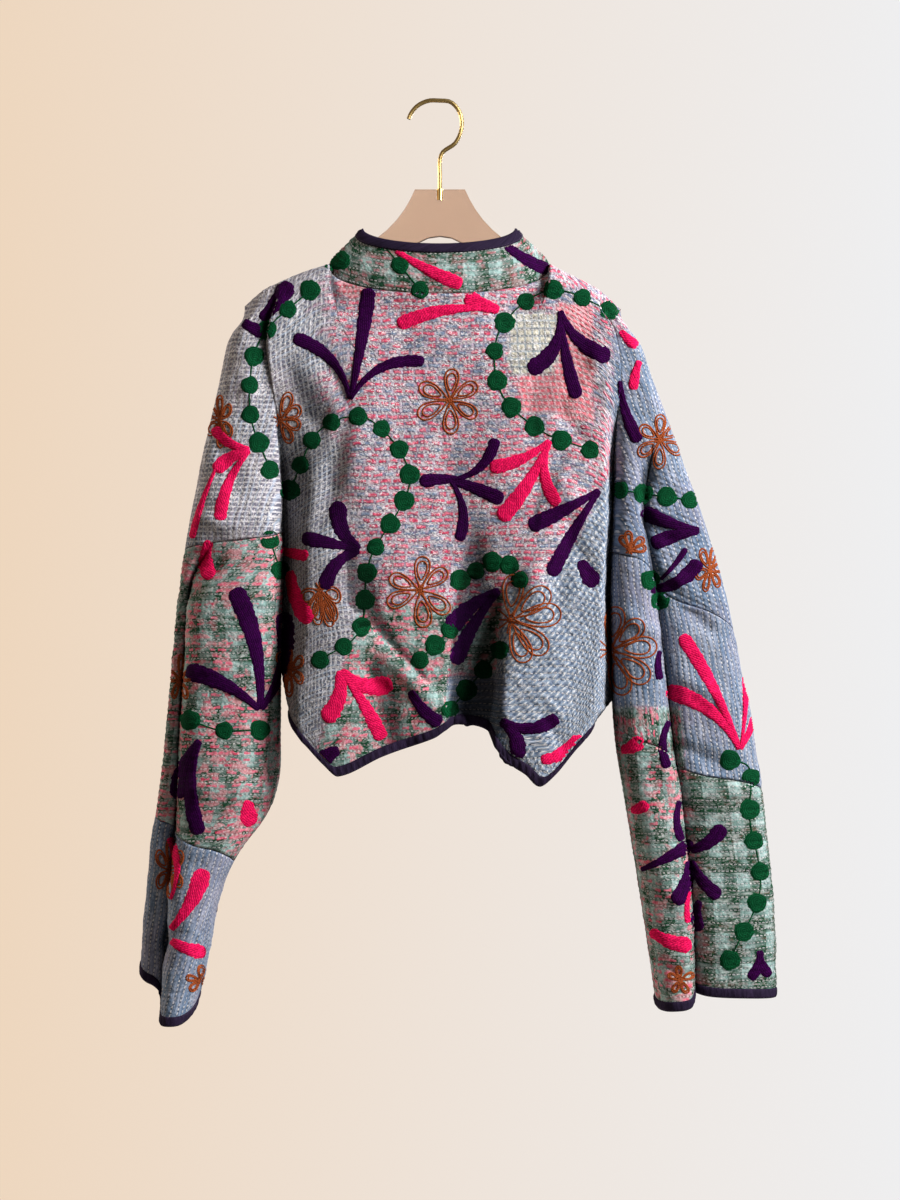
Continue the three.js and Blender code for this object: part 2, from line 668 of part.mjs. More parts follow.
function heldBack(p, half) {
  if (half < 0) p.x = Math.min(p.x, frontLimit(half));
  if (half > 0) p.x = Math.max(p.x, frontLimit(half));
  return p;
}

// v is 0 at the collar's upper edge and 1 at the neck seam.
function collarPoint({ side, half, s }, v) {
  const seam = neckPoint(side, s);
  const q = (seam.x - neckCentre) / neckHalf;
  const drop = side < 0 ? collarTop.backDrop : collarTop.frontDrop;
  const top = new THREE.Vector3(
    collarTop.centre + collarTop.half * q,
    side * collarTop.deep * seam.out,
    collarTop.side - drop * seam.out,
  );
  const p = new THREE.Vector3(seam.x, seam.y, seam.z + seamGap).lerp(top, 1 - v);
  const bulge = collarTop.bulge * Math.sin(Math.PI * v);
  p.x += bulge * q;
  p.y += bulge * side * seam.out;
  if (half !== 0 && s === 0.5) p.inward = straightBack();
  else if (v === 1) p.inward = new THREE.Vector3(neckCentre - p.x, -p.y, 0).normalize();
  return heldBack(p, half);
}

const collarSlope = 52;      // from the neck seam to the upper edge
const collarBound = bindingWidth / collarSlope;

function addCollar() {
  const columns = neckColumns();
  const from = collarBound + seamStep / collarSlope;
  const points = steps(count.collar).map((v) => columns.map((c) => collarPoint(c, mix(from, 1, v))));
  addPiece('collar', buildWall(points, { rise: quiltRows }), plaid);
  const strip = steps(2).map((v) => columns.map((c) => collarPoint(c, v * collarBound)));
  addPiece('binding_collar', bindingStrip(strip), aubergine);
}

// ---- Bound edges of the body ----
function addHem() {
  const near = steps(count.back.body).map((s) => ({ side: -1, half: 0, s }));
  const far = steps(count.front.body / 2).reverse();
  const left = far.slice(0, -1).map((v) => ({ side: 1, half: -1, s: v / 2 }));
  const right = far.slice(1).map((v) => ({ side: 1, half: 1, s: 0.5 + v / 2 }));
  const columns = [...left, ...near, ...right];
  const points = steps(2).map((v) => columns.map(({ side, half, s }) => {
    const z = hemEdge(side, s) + bindingWidth * (1 - v);
    const p = cloth(side, 1 + s, z, half);
    p.inward = s === 0.5 && half !== 0 ? straightBack() : inwardAt(side, 1 + s, z, half);
    return p;
  }));
  addPiece('binding_hem', bindingStrip(points), aubergine);
}

// One strip from the collar's upper edge down the front edge to the hem.
function addFrontBinding(name, half) {
  const edge = [];
  const addEdge = (z) => edge.push(cloth(1, 1.5, z, half));
  for (const v of steps(count.collar)) edge.push(collarPoint({ side: 1, half, s: 0.5 }, v));
  const rows = count.front.upper + count.front.lower;
  for (let i = 1; i <= rows; i += 1) addEdge(rowHeight(1, 1.5, i, count.front));
  for (const up of [bindingWidth / 2, 0]) addEdge(hemEdge(1, 0.5) + up);
  const across = steps(2).map((v) => -half * (seamGap + v * bindingWidth));
  if (half < 0) across.reverse();
  const points = edge.map((p) => across.map((dx) => {
    const q = new THREE.Vector3(p.x + dx, p.y, p.z);
    q.inward = straightBack();
    return q;
  }));
  addPiece(name, bindingStrip(points, onSide(1)), aubergine);
}

// ---- Hanger ----
const plate = { thick: 8, topZ: -91, left: -23, right: 29, centre: 3, lip: 6 };
const notch = { wide: 7.6, deep: 11 };
const hook = { wire: 4.4, sides: 10, steps: 40 };
const ferruleStep = 1;       // how far the ferrule stands out of the notch
const arch = { half: 58, top: -139, foot: -208, kneeX: 6, toeX: 22, toeZ: 18, bendZ: 14 };
const archBend = { left: [-22, -44], right: [28, 50], z: -160 };
const tips = { left: -188, right: 178, top: -222, lowLeft: -232, lowRight: -236, run: 16 };

// The plate's necks, from its top down to its shoulders: two bends and where they end.
const plateNeck = {
  left: table('x z', [-32, -112], [-46, -134], [-79, -152]),
  right: table('x z', [38, -112], [52, -134], [84, -152]),
};
// Its upper edge lies this far under the shoulder seams at each of these places.
const underSeam = { left: [-176, -160, -140, -125], right: [130, 145, 158, 168] };
const seamEnds = { left: -109, right: 114, drop: 1 };
const tipBend = { left: -184, right: 173 };

// The wire's middle, from its foot in the ferrule over the crown to its free end.
const hookPath = table('x z', [3, -75], [3, -60], [6, -51.5], [19, -42], [25.5, -27], [24, -11],
  [14.5, 0.5], [2, 2.2], [-9, 2], [-20, -3], [-27, -11], [-29.5, -17]);

function plateOutline() {
  const edge = (x) => read(x < 0 ? shoulderLeft : shoulderRight, 'x', 'z', x) - plate.lip;
  const notchHalf = notch.wide / 2;
  const toe = arch.half + arch.toeX;
  const { left: neckL, right: neckR } = plateNeck;
  const s = new THREE.Shape();
  s.moveTo(plate.centre + notchHalf, plate.topZ);
  s.lineTo(plate.right, plate.topZ);
  s.bezierCurveTo(neckR[0].x, neckR[0].z, neckR[1].x, neckR[1].z, neckR[2].x, neckR[2].z);
  s.lineTo(seamEnds.right, edge(shoulderRight[0].x) - seamEnds.drop);
  for (const x of underSeam.right) s.lineTo(x, edge(x));
  s.quadraticCurveTo(tips.right, edge(tipBend.right), tips.right, tips.top);
  s.quadraticCurveTo(tips.right, tips.lowRight, tips.right - tips.run, tips.lowRight);

  // under the plate, round the arch
  s.lineTo(plate.centre + toe, arch.foot - arch.toeZ);
  s.quadraticCurveTo(plate.centre + arch.half, arch.foot - arch.bendZ,
    plate.centre + arch.half - arch.kneeX, arch.foot);
  s.bezierCurveTo(archBend.right[1], archBend.z, archBend.right[0], arch.top, plate.centre, arch.top);
  s.bezierCurveTo(archBend.left[0], arch.top, archBend.left[1], archBend.z,
    plate.centre - arch.half + arch.kneeX, arch.foot);
  s.quadraticCurveTo(plate.centre - arch.half, arch.foot - arch.bendZ,
    plate.centre - toe, arch.foot - arch.toeZ);

  s.lineTo(tips.left + tips.run, tips.lowLeft);
  s.quadraticCurveTo(tips.left, tips.lowLeft, tips.left, tips.top);
  s.quadraticCurveTo(tips.left, edge(tipBend.left), underSeam.left[0], edge(underSeam.left[0]));
  for (const x of underSeam.left.slice(1)) s.lineTo(x, edge(x));
  s.lineTo(seamEnds.left, edge(shoulderLeft[shoulderLeft.length - 1].x) - seamEnds.drop);
  s.lineTo(neckL[2].x, neckL[2].z);
  s.bezierCurveTo(neckL[1].x, neckL[1].z, neckL[0].x, neckL[0].z, plate.left, plate.topZ);
  s.lineTo(plate.centre - notchHalf, plate.topZ);
  s.lineTo(plate.centre - notchHalf, plate.topZ - notch.deep);
  s.lineTo(plate.centre + notchHalf, plate.topZ - notch.deep);
  s.closePath();
  return s;
}

function addPlate() {
  const geometry = new THREE.ExtrudeGeometry(plateOutline(), {
    depth: plate.thick, bevelEnabled: false, curveSegments: 6,
  });
  geometry.rotateX(Math.PI / 2);
  geometry.translate(0, plate.thick / 2, 0);
  addPiece('hanger_plate', geometry, acrylic);
}

function addHook() {
  const radius = notch.wide / 2 - seamGap;
  const height = notch.deep - seamGap + ferruleStep;
  const ferrule = new THREE.CylinderGeometry(radius, radius, height, 20);
  ferrule.rotateX(Math.PI / 2);
  ferrule.translate(plate.centre, 0, plate.topZ + ferruleStep - height / 2);
  addPiece('hanger_ferrule', ferrule, brass);

  const stemFoot = { x: plate.centre, z: plate.topZ + ferruleStep + seamGap };
  const middle = [stemFoot, ...hookPath].map(({ x, z }) => new THREE.Vector3(x, 0, z));
  const path = new THREE.CatmullRomCurve3(middle, false, 'centripetal');
  const section = new THREE.Shape();
  section.absarc(0, 0, hook.wire / 2, 0, 2 * Math.PI);
  const wire = new THREE.ExtrudeGeometry(section, {
    steps: hook.steps, extrudePath: path, curveSegments: hook.sides / 2, bevelEnabled: false,
  });
  addPiece('hanger_hook', wire, brass);
}

// ---- The whole thing ----
addBack();
addFront('front_left', -1);
addFront('front_right', 1);
addSleeve('sleeve_left_upper', true, 'leftUpper', 'leftLower', count.sleeve.upper, plaid);
addSleeve('sleeve_left_lower', true, 'leftLower', 'leftCuff', count.sleeve.lower, indigo);
addSleeve('sleeve_right_upper', false, 'rightUpper', 'rightLower', count.sleeve.upper, indigo);
addSleeve('sleeve_right_lower', false, 'rightLower', 'rightCuff', count.sleeve.lower, plaid);
addCuff('binding_cuff_left', true, 'leftCuff');
addCuff('binding_cuff_right', false, 'rightCuff');
addCollar();
addHem();
addFrontBinding('binding_front_left', -1);
addFrontBinding('binding_front_right', 1);
addPlate();
addHook();

export default jacket;
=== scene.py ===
# Quilted and embroidered jacket on a smoke-clear plate hanger, looking at its back.
# Metres, +Z up. The back of the jacket faces -Y, and the origin is under the crown of the hook.
import math

import bpy
import numpy as np
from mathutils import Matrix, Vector, noise
from mathutils.bvhtree import BVHTree


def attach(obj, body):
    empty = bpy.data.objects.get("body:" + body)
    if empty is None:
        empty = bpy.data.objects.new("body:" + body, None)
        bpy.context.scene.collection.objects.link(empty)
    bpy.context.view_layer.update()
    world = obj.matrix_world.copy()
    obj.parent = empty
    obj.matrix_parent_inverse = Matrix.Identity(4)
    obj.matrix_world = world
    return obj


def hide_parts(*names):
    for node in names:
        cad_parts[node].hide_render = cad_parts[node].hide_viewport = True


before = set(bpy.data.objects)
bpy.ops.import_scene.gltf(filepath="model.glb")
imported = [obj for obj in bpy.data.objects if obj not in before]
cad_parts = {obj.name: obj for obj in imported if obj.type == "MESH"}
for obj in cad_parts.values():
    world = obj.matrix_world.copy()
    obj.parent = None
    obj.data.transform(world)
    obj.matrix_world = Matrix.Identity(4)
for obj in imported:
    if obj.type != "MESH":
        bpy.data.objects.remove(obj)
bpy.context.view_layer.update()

mm = 0.001

# The cut of the cloth, in millimetres
cut = {
    "clothWall": 2.4,
    "bindingWall": 3.8,
    "bindingWidth": 10,
    "seamGap": 0.3,
    "frontGapNeck": 4,
    "frontGapHem": 9,
    "frontCentre": 4,
    "tucked": 2,       # how far the cloth runs under its binding
}
neckCut = {"centre": 2.5, "half": 114.5, "side": -168, "share": 0.25}
neckDepth = {
    -1: {"drop": 36, "deep": 34, "round": 0.4},  # the back
    1: {"drop": 48, "deep": 32, "round": 0.6},   # the fronts
}
collarCut = {"centre": 2, "half": 78.5, "side": -131, "deep": 30, "bulge": 2.5,
             "dropBack": 21, "dropFront": 27}
riseShare = 0.125   # of the body's width that climbs out of the fold beside a sleeve
turn = 4 / 9        # where the groove lies across the back of a sleeve


def table(names, *rows):
    return {name: np.array([row[i] for row in rows], float) for i, name in enumerate(names.split())}


leftSleeve = table(
    "z out split inn near outer dent far grooved",
    (-212, -200, -190, -165, 22, 14, 8, 22, 0), (-240, -215, -203, -168, 25, 16, 8, 24, 0),
    (-300, -228, -214, -166, 31, 18, 8, 28, 0), (-380, -245, -235, -162, 37, 18, 8, 32, 0),
    (-445, -258, -248, -160, 41, 18, 8, 34, 0), (-500, -266, -253, -159, 43, 18, 7, 36, 1),
    (-580, -275, -261, -162, 45, 18, 6, 38, 1), (-660, -281, -266, -163, 46, 20, 6, 40, 1),
    (-700, -286, -267, -164, 47, 20, 6, 42, 1), (-740, -292, -269, -177, 48, 22, 6, 44, 1),
    (-780, -297, -273, -206, 50, 22, 6, 47, 1), (-820, -301, -275, -225, 52, 24, 6, 50, 1),
    (-880, -306, -280, -237, 55, 26, 6, 53, 1), (-950, -309, -284, -254, 58, 28, 6, 56, 1))
rightSleeve = table(
    "z out split inn near outer dent far grooved",
    (-215, 191, 184, 168, 22, 14, 8, 22, 0), (-240, 207, 196, 178, 25, 16, 8, 24, 0),
    (-300, 228, 204, 185, 30, 18, 10, 28, 0), (-360, 250, 207, 184, 36, 20, 10, 32, 0.3),
    (-420, 272, 213, 183, 40, 24, 9, 34, 1), (-500, 297, 224, 179, 42, 27, 8, 36, 1),
    (-580, 314, 234, 181, 45, 29, 8, 38, 1), (-660, 329, 243, 185, 46, 30, 8, 40, 1),
    (-740, 340, 254, 198, 46, 31, 8, 40, 1), (-860, 351, 265, 217, 47, 33, 8, 40, 1),
    (-950, 351, 265, 230, 48, 34, 8, 40, 1))
body = table(
    "z edgeL edgeR floor back front",
    (-205, -130, 135, 18, 27, 26), (-240, -112, 150, 20, 31, 28), (-300, -106, 168, 14, 33, 30),
    (-380, -119, 171, 7, 35, 32), (-460, -128, 170, 4, 38, 33), (-540, -130, 166, 3, 44, 35),
    (-590, -135, 163, 2.8, 48, 38), (-620, -138, 159, 2.8, 51, 40), (-660, -136, 147, 2.8, 54, 42),
    (-710, -120, 126, 2.8, 57, 44))
underarm = {"left": -590, "right": -622, "opens": 14, "joins": 8}
# The last three set where and how strongly the back's colour is darkened beside the left sleeve, as painted
# shade.
valley = {"from": -290, "to": -405, "shadingFrom": -270, "shadingTo": -400, "shading": 0.62}   # beside the sleeves
sideLeft = table("z x", (-590, -161.7), (-612, -157), (-645, -151), (-710, -140))
sideRight = table("z x", (-622, 181.5), (-632, 172), (-645, 162), (-665, 152), (-710, 140))
shoulderLeft = table("x z", (-200, -212), (-190, -203), (-176, -193), (-140, -177), (-112, -168))
shoulderRight = table("x z", (117, -168), (130, -175), (158, -189), (173, -199), (191, -215))
hem = {
    -1: table(
        "s z", (0, -640), (0.07, -649), (0.125, -661), (0.165, -682), (0.2, -695), (0.341, -675),
        (0.477, -657), (0.515, -647), (0.546, -645), (0.618, -651), (0.649, -668), (0.685, -681),
        (0.747, -693), (0.803, -705), (0.838, -692), (0.875, -664), (0.93, -656), (1, -652)),
    1: table("s z", (0, -640), (0.125, -643), (0.5, -647), (0.875, -650), (1, -652)),
}
seams = {
    "leftUpper": table("t near far", (0, -466, -466), (0.5, -457, -456), (1, -446, -446)),
    "rightUpper": table(
        "t near far", (0, -552, -552), (0.44, -498, -498), (0.7, -474, -480), (1, -467, -467)),
    "leftLower": table("t near far", (0, -738, -738), (0.5, -756, -754), (1, -788, -788)),
    "rightLower": table("t near far", (0, -714, -714), (0.44, -685, -690), (1, -640, -640)),
    "leftCuff": table(
        "t near far",
        (0, -900, -900), (0.3, -918, -898), (0.45, -944, -908), (0.7, -949, -922), (1, -944, -944)),
    "rightCuff": table(
        "t near far",
        (0, -928, -928), (0.3, -924, -930), (0.44, -922, -932), (0.6, -933, -934), (1, -939, -939)),
}
pleat = table(
    "z left right soft deep",
    (-430, 42, 44, 26, 0), (-500, 24, 60, 24, 5), (-540, 18, 66, 18, 12), (-580, 16, 64, 12, 19),
    (-620, 14, 61, 9, 26), (-660, 12, 57, 7, 32), (-710, 11, 55, 6, 36))
lap = {"fromX": -92, "fromZ": -520, "toX": 16, "toZ": -628,
       "high": 9, "soft": 7, "fade": 45, "before": 10, "reach": 140}
shoulder = {"spread": 140, "settle": 40, "turn": 26, "roll": 55}   # how far below the seam each one ends
frontTurn = {"left": 22, "right": 20, "from": -250, "to": -420}

# Soft folds and creases, from upper to lower end: half width and height at each end.
backFolds = table(
    "x0 z0 x1 z1 wide0 wide1 high0 high1",
    (-60, -235, -96, -470, 26, 34, 1, 5), (70, -230, 96, -480, 24, 34, 1, 5),
    (8, -225, 30, -420, 24, 30, 1, -4), (-150, -215, -120, -330, 18, 20, 2, -5),
    (182, -222, 150, -330, 14, 22, 2, 5), (196, -236, 168, -300, 10, 14, 2, -4),
    (100, -560, 92, -705, 26, 34, 1, 7), (-88, -600, -98, -700, 22, 30, 1, 6))
frontFolds = table(
    "x0 z0 x1 z1 wide0 wide1 high0 high1",
    (-70, -240, -92, -650, 24, 34, 2, 11), (-30, -330, -46, -650, 20, 26, 0, -7),
    (78, -240, 100, -650, 24, 34, 2, 11), (36, -330, 52, -650, 20, 26, 0, -7),
    (-130, -380, -128, -640, 16, 22, 0, 6), (140, -380, 138, -645, 16, 22, 0, 6))
# Creases that fade out at both ends, across the whole jacket.
creases = table(
    "x0 z0 x1 z1 wide high",
    (-122, -262, -92, -330, 9, -1.8), (-104, -300, -118, -392, 8, 1.6), (-96, -350, -120, -470, 10, -1.7),
    (-60, -300, -98, -420, 12, 1.3), (120, -300, 158, -372, 9, -1.4), (108, -360, 160, -460, 11, 1.7),
    (128, -440, 164, -520, 9, -1.6), (84, -470, 130, -600, 12, 1.5), (40, -440, 34, -520, 9, -1.6),
    (-30, -470, -74, -560, 11, 1.4), (-86, -560, -30, -632, 7, -1.7), (-70, -548, 4, -640, 6, 1.4),
    (96, -610, 134, -690, 8, -1.4), (60, -600, 82, -700, 9, 1.3), (150, -250, 186, -330, 9, 1.5),
    (-200, -250, -182, -330, 9, 1.5), (-226, -330, -196, -420, 9, -1.6), (-246, -420, -204, -452, 7, 1.4),
    (-262, -520, -204, -470, 8, -1.8), (-240, -600, -176, -540, 9, 1.7), (-268, -640, -190, -610, 8, -1.5),
    (-262, -720, -186, -690, 9, 1.8), (-286, -770, -214, -720, 8, -1.9), (-290, -820, -236, -790, 8, 1.6),
    (-300, -880, -246, -850, 9, -1.5), (200, -330, 238, -410, 9, 1.4), (196, -430, 262, -470, 8, -1.6),
    (222, -480, 282, -520, 7, 1.9), (240, -500, 300, -560, 7, -1.8), (190, -520, 232, -560, 7, 1.7),
    (240, -580, 306, -640, 9, 1.6), (236, -660, 300, -700, 8, -1.6), (262, -740, 338, -700, 9, 1.7),
    (208, -680, 250, -740, 8, -1.5), (216, -780, 262, -840, 8, 1.6), (268, -820, 344, -790, 9, -1.5),
    (226, -880, 262, -910, 8, -1.4), (272, -890, 344, -860, 8, 1.4))


def mix(a, b, t):
    return a + (b - a) * t


def smooth(t):
    t = np.clip(t, 0, 1)
    return t * t * (3 - 2 * t)


def between(start, end, value):
    return smooth((value - start) / (end - start))


def read(rows, key, column, at):
    # a column of a table at a place, along a smooth curve through its rows
    k, v = rows[key], rows[column]
    if k[-1] < k[0]:
        k, at = -k, -np.asarray(at, float)
    x = np.clip(at, k[0], k[-1])
    i = np.clip(np.searchsorted(k, x) - 1, 0, len(k) - 2)
    before = np.maximum(np.arange(len(k)) - 1, 0)
    after = np.minimum(np.arange(len(k)) + 1, len(k) - 1)
    slope = (v[after] - v[before]) / (k[after] - k[before])
    h = k[i + 1] - k[i]
    t = (x - k[i]) / h
    return ((2 * t**3 - 3 * t**2 + 1) * v[i] + (t**3 - 2 * t**2 + t) * h * slope[i]
            + (3 * t**2 - 2 * t**3) * v[i + 1] + (t**3 - t**2) * h * slope[i + 1])


def hump(t, roundness=0.75):
    # a rounded hump: how far across it is, and how high
    c = np.cos(math.pi * t)
    return 0.5 - 0.5 * np.sign(c) * np.abs(c) ** roundness, np.maximum(0, np.sin(math.pi * t)) ** roundness


def foldHeight(folds, x, z):
    total = 0
    for i in range(len(folds["x0"])):
        f = {name: column[i] for name, column in folds.items()}
        t = (z - f["z0"]) / (f["z1"] - f["z0"])
        down = np.maximum(0, t)
        wide = mix(f["wide0"], f["wide1"], np.minimum(1, down))
        off = (x - mix(f["x0"], f["x1"], down)) / wide
        high = mix(f["high0"], f["high1"], np.minimum(1, down))
        total = total + smooth(t * 4 + 0.5) * high * np.exp(-off * off)
    return total


def lapHeight(x, z):
    dx, dz = lap["toX"] - lap["fromX"], lap["toZ"] - lap["fromZ"]
    length = math.hypot(dx, dz)
    along = ((x - lap["fromX"]) * dx + (z - lap["fromZ"]) * dz) / length
    across = ((x - lap["fromX"]) * dz - (z - lap["fromZ"]) * dx) / length
    start = smooth((along + lap["before"]) / lap["fade"])
    rise = lap["high"] * start * smooth(across / lap["soft"] + 0.5)
    return rise * np.clip(1 - np.abs(across) / lap["reach"], 0, 1)


def neckLine(side, s):
    angle = math.pi * np.clip((s - neckCut["share"]) / (1 - 2 * neckCut["share"]), 0, 1)
    q = -np.cos(angle)
    out = np.sqrt(np.maximum(0, 1 - q * q))
    depth = neckDepth[side]
    x = neckCut["centre"] + neckCut["half"] * q
    z = neckCut["side"] - depth["drop"] * np.maximum(0, 1 - q * q) ** depth["round"]
    return x, side * depth["deep"] * out, z, out


seamAtLeft, seamAtRight = -163, 168   # where the shoulder seams pass over the armholes


def topEdge(side, c):
    # the shoulder seams, and the neck seam between them
    s = np.clip(c - 1, 0, 1)
    share = neckCut["share"]
    neckL, neckR = neckCut["centre"] - neckCut["half"], neckCut["centre"] + neckCut["half"]
    x = np.where(c < 1, mix(shoulderLeft["x"][0], seamAtLeft, c),
        np.where(c > 2, mix(seamAtRight, shoulderRight["x"][-1], c - 2),
        np.where(s < 0.5, mix(seamAtLeft, neckL, s / share), mix(seamAtRight, neckR, (1 - s) / share))))
    z = np.where(c < 1.5, read(shoulderLeft, "x", "z", x), read(shoulderRight, "x", "z", x))
    onNeck = (s >= share) & (s <= 1 - share)
    neck = neckLine(side, s)
    return [np.where(onNeck, a, b) for a, b in zip(neck, (x, 0 * x, z, 0 * x))]


def sleeveSection(side, isLeft, t, z):
    rows = leftSleeve if isLeft else rightSleeve
    at = {name: read(rows, "z", name, z) for name in rows if name != "z"}
    arm = underarm["left" if isLeft else "right"]
    inArm = between(arm - underarm["opens"], arm, z)
    floor = mix(cut["seamGap"] / 2, read(body, "z", "floor", z) + cut["seamGap"], inArm)
    high = at["near" if side < 0 else "far"]
    across, up = hump(t)
    dip = np.where(t < 0.5, 0, floor * (1 - up))
    inValley = between(valley["from"], valley["to"], z)
    x = mix(at["out"], at["inn"], across)
    y = np.where(t < 0.5, high * up, mix(high, high * up + dip, inValley))
    if side > 0:
        return x, y
    first, second = np.clip(t / turn, 0, 1), np.clip((t - turn) / (1 - turn), 0, 1)
    acrossA, upA = hump(first)
    acrossB, upB = hump(second)
    outerX = mix(at["out"], at["split"], acrossA)
    outerY = at["dent"] * first + at["outer"] * upA * 0.8
    innerX = mix(at["split"], at["inn"], acrossB)
    innerY = mix(at["dent"], floor, second) + (high - at["dent"]) * upB
    lobeX, lobeY = np.where(t < turn, outerX, innerX), np.where(t < turn, outerY, innerY)
    return mix(x, lobeX, at["grooved"]), mix(y, lobeY, at["grooved"])


def bodySection(side, s, z, half):
    isBack = side < 0
    at = {name: read(body, "z", name, z) for name in body if name != "z"}
    gap = cut["seamGap"]
    armL, armR = read(leftSleeve, "z", "inn", z) + gap, read(rightSleeve, "z", "inn", z) - gap
    seamL = np.where(z > underarm["left"], armL, read(sideLeft, "z", "x", z))
    seamR = np.where(z > underarm["right"], armR, read(sideRight, "z", "x", z))
    edgeL = at["edgeL"] if isBack else seamL + frontTurn["left"]
    edgeR = at["edgeR"] if isBack else seamR - frontTurn["right"]
    opening = mix(cut["frontGapNeck"], cut["frontGapHem"], between(neckCut["side"], -650, z)) / 2
    settled = between(frontTurn["from"], frontTurn["to"], z)
    middle = mix(neckCut["centre"], (edgeL + edgeR) / 2, settled) if isBack else cut["frontCentre"] + 0 * z
    if not isBack:
        middle = middle + half * (opening + cut["bindingWidth"] + gap)
    isLeft = s <= 0.5
    share = np.minimum(s, 1 - s)
    rise = 1 - np.cos(np.clip(share / riseShare, 0, 1) * math.pi / 2)
    flat = np.clip((share - riseShare) / (0.5 - riseShare), 0, 1)
    edge, seam = np.where(isLeft, edgeL, edgeR), np.where(isLeft, seamL, seamR)
    x = np.where(share < riseShare, mix(seam, edge, rise), mix(edge, middle, flat))
    high = at["back" if isBack else "front"] + foldHeight(backFolds if isBack else frontFolds, x, z)
    if isBack:
        p = {name: read(pleat, "z", name, z) for name in pleat if name != "z"}
        walls = smooth((x - p["left"]) / p["soft"] + 0.5) * smooth((p["right"] - x) / p["soft"] + 0.5)
        high = high + lapHeight(x, z) - p["deep"] * walls
    arm = np.where(isLeft, underarm["left"], underarm["right"])
    joined = between(arm - underarm["joins"], arm, z)
    rounded = np.sqrt(np.maximum(0, 1 - (1 - rise) ** 2))
    climb = mix(rounded, mix(rounded, smooth(rise), 0.85), joined)
    floor = mix(gap / 2, at["floor"], joined)
    inValley = between(valley["from"], valley["to"], z)
    return x, np.maximum(mix(mix(high, floor, inValley), high, climb), gap / 2)


def cloth(side, c, z, half=0):
    # a point of the outer face: side -1 is the back and 1 the fronts; c is 0 to 1 over the left
    # sleeve, 1 to 2 over the body and 2 to 3 over the right sleeve
    c, z = np.broadcast_arrays(np.asarray(c, float), np.asarray(z, float))
    topX, topY, topZ, topOut = topEdge(side, c)
    down = np.maximum(0, topZ - z)
    leftX, leftY = sleeveSection(side, True, np.clip(c, 0, 1), z)
    rightX, rightY = sleeveSection(side, False, np.clip(3 - c, 0, 1), z)
    bodyX, bodyY = bodySection(side, np.clip(c - 1, 0, 1), z, half)
    placeX = np.where(c < 1, leftX, np.where(c > 2, rightX, bodyX))
    placeY = side * np.where(c < 1, leftY, np.where(c > 2, rightY, bodyY))
    outL, outR = read(leftSleeve, "z", "out", z), read(rightSleeve, "z", "out", z)
    endL, endR = shoulderLeft["x"][0], shoulderRight["x"][-1]
    if half:
        inNeck = (c > 1 + neckCut["share"]) & (c < 2 - neckCut["share"])
        limit = frontLimit(half)
        topX = np.where(inNeck, (np.minimum if half < 0 else np.maximum)(topX, limit), topX)
    spread = smooth(down / shoulder["spread"])
    share = mix((topX - endL) / (endR - endL), (placeX - outL) / (outR - outL), spread)
    near = smooth(down / shoulder["settle"])
    turned = np.clip(down / shoulder["turn"], 0, 1)
    roll = mix(np.sqrt(1 - (1 - turned) ** 2), smooth(down / shoulder["roll"]), topOut)
    y = np.where((c <= 0) | (c >= 3), side * cut["seamGap"] / 2, mix(topY, placeY, roll))
    x = mix(mix(endL, outL, near), mix(endR, outR, near), share)
    return np.stack([x, side * np.maximum(side * y, cut["seamGap"] / 2), z], axis=-1)


def frontLimit(half):
    return cut["frontCentre"] + half * (cut["frontGapNeck"] / 2 + cut["bindingWidth"] + cut["seamGap"])


def collarPoint(side, half, s, v):
    # v is 0 at the collar's upper edge and 1 at the neck seam
    x, y, z, out = neckLine(side, s)
    q = (x - neckCut["centre"]) / neckCut["half"]
    drop = collarCut["dropBack"] if side < 0 else collarCut["dropFront"]
    bulge = collarCut["bulge"] * np.sin(math.pi * v)
    px = mix(collarCut["centre"] + collarCut["half"] * q, x, v) + bulge * q
    py = mix(side * collarCut["deep"] * out, y, v) + bulge * side * out
    pz = mix(collarCut["side"] - drop * out, z + cut["seamGap"], v)
    if half:
        px = (np.minimum if half < 0 else np.maximum)(px, frontLimit(half))
    return np.stack(np.broadcast_arrays(px, py, pz), axis=-1)


# Meshes from rows and columns of points
def outward(points):
    # unit normals of a grid, by its neighbours
    across = np.gradient(points, axis=1)
    down = np.gradient(points, axis=0)
    n = np.cross(down, across)
    return n / np.maximum(1e-9, np.linalg.norm(n, axis=-1, keepdims=True))


def unevenness(points, scale, seed):
    shape = points.shape[:-1]
    flat = points.reshape(-1, 3) / scale
    values = [noise.noise(Vector((p[0] + seed, p[1], p[2]))) for p in flat]
    return np.array(values).reshape(shape)


def creaseHeight(points):
    x, z = points[..., 0], points[..., 2]
    total = 0 * x
    for i in range(len(creases["x0"])):
        f = {name: column[i] for name, column in creases.items()}
        dx, dz = f["x1"] - f["x0"], f["z1"] - f["z0"]
        length = math.hypot(dx, dz)
        along = ((x - f["x0"]) * dx + (z - f["z0"]) * dz) / length**2
        bow = 5 * np.sin(3 * along + i)
        across = ((x - f["x0"]) * dz - (z - f["z0"]) * dx) / length + bow
        ends = smooth(along * 3) * smooth((1 - along) * 3)
        total += f["high"] * ends * np.exp(-(across / f["wide"]) ** 2)
    return total


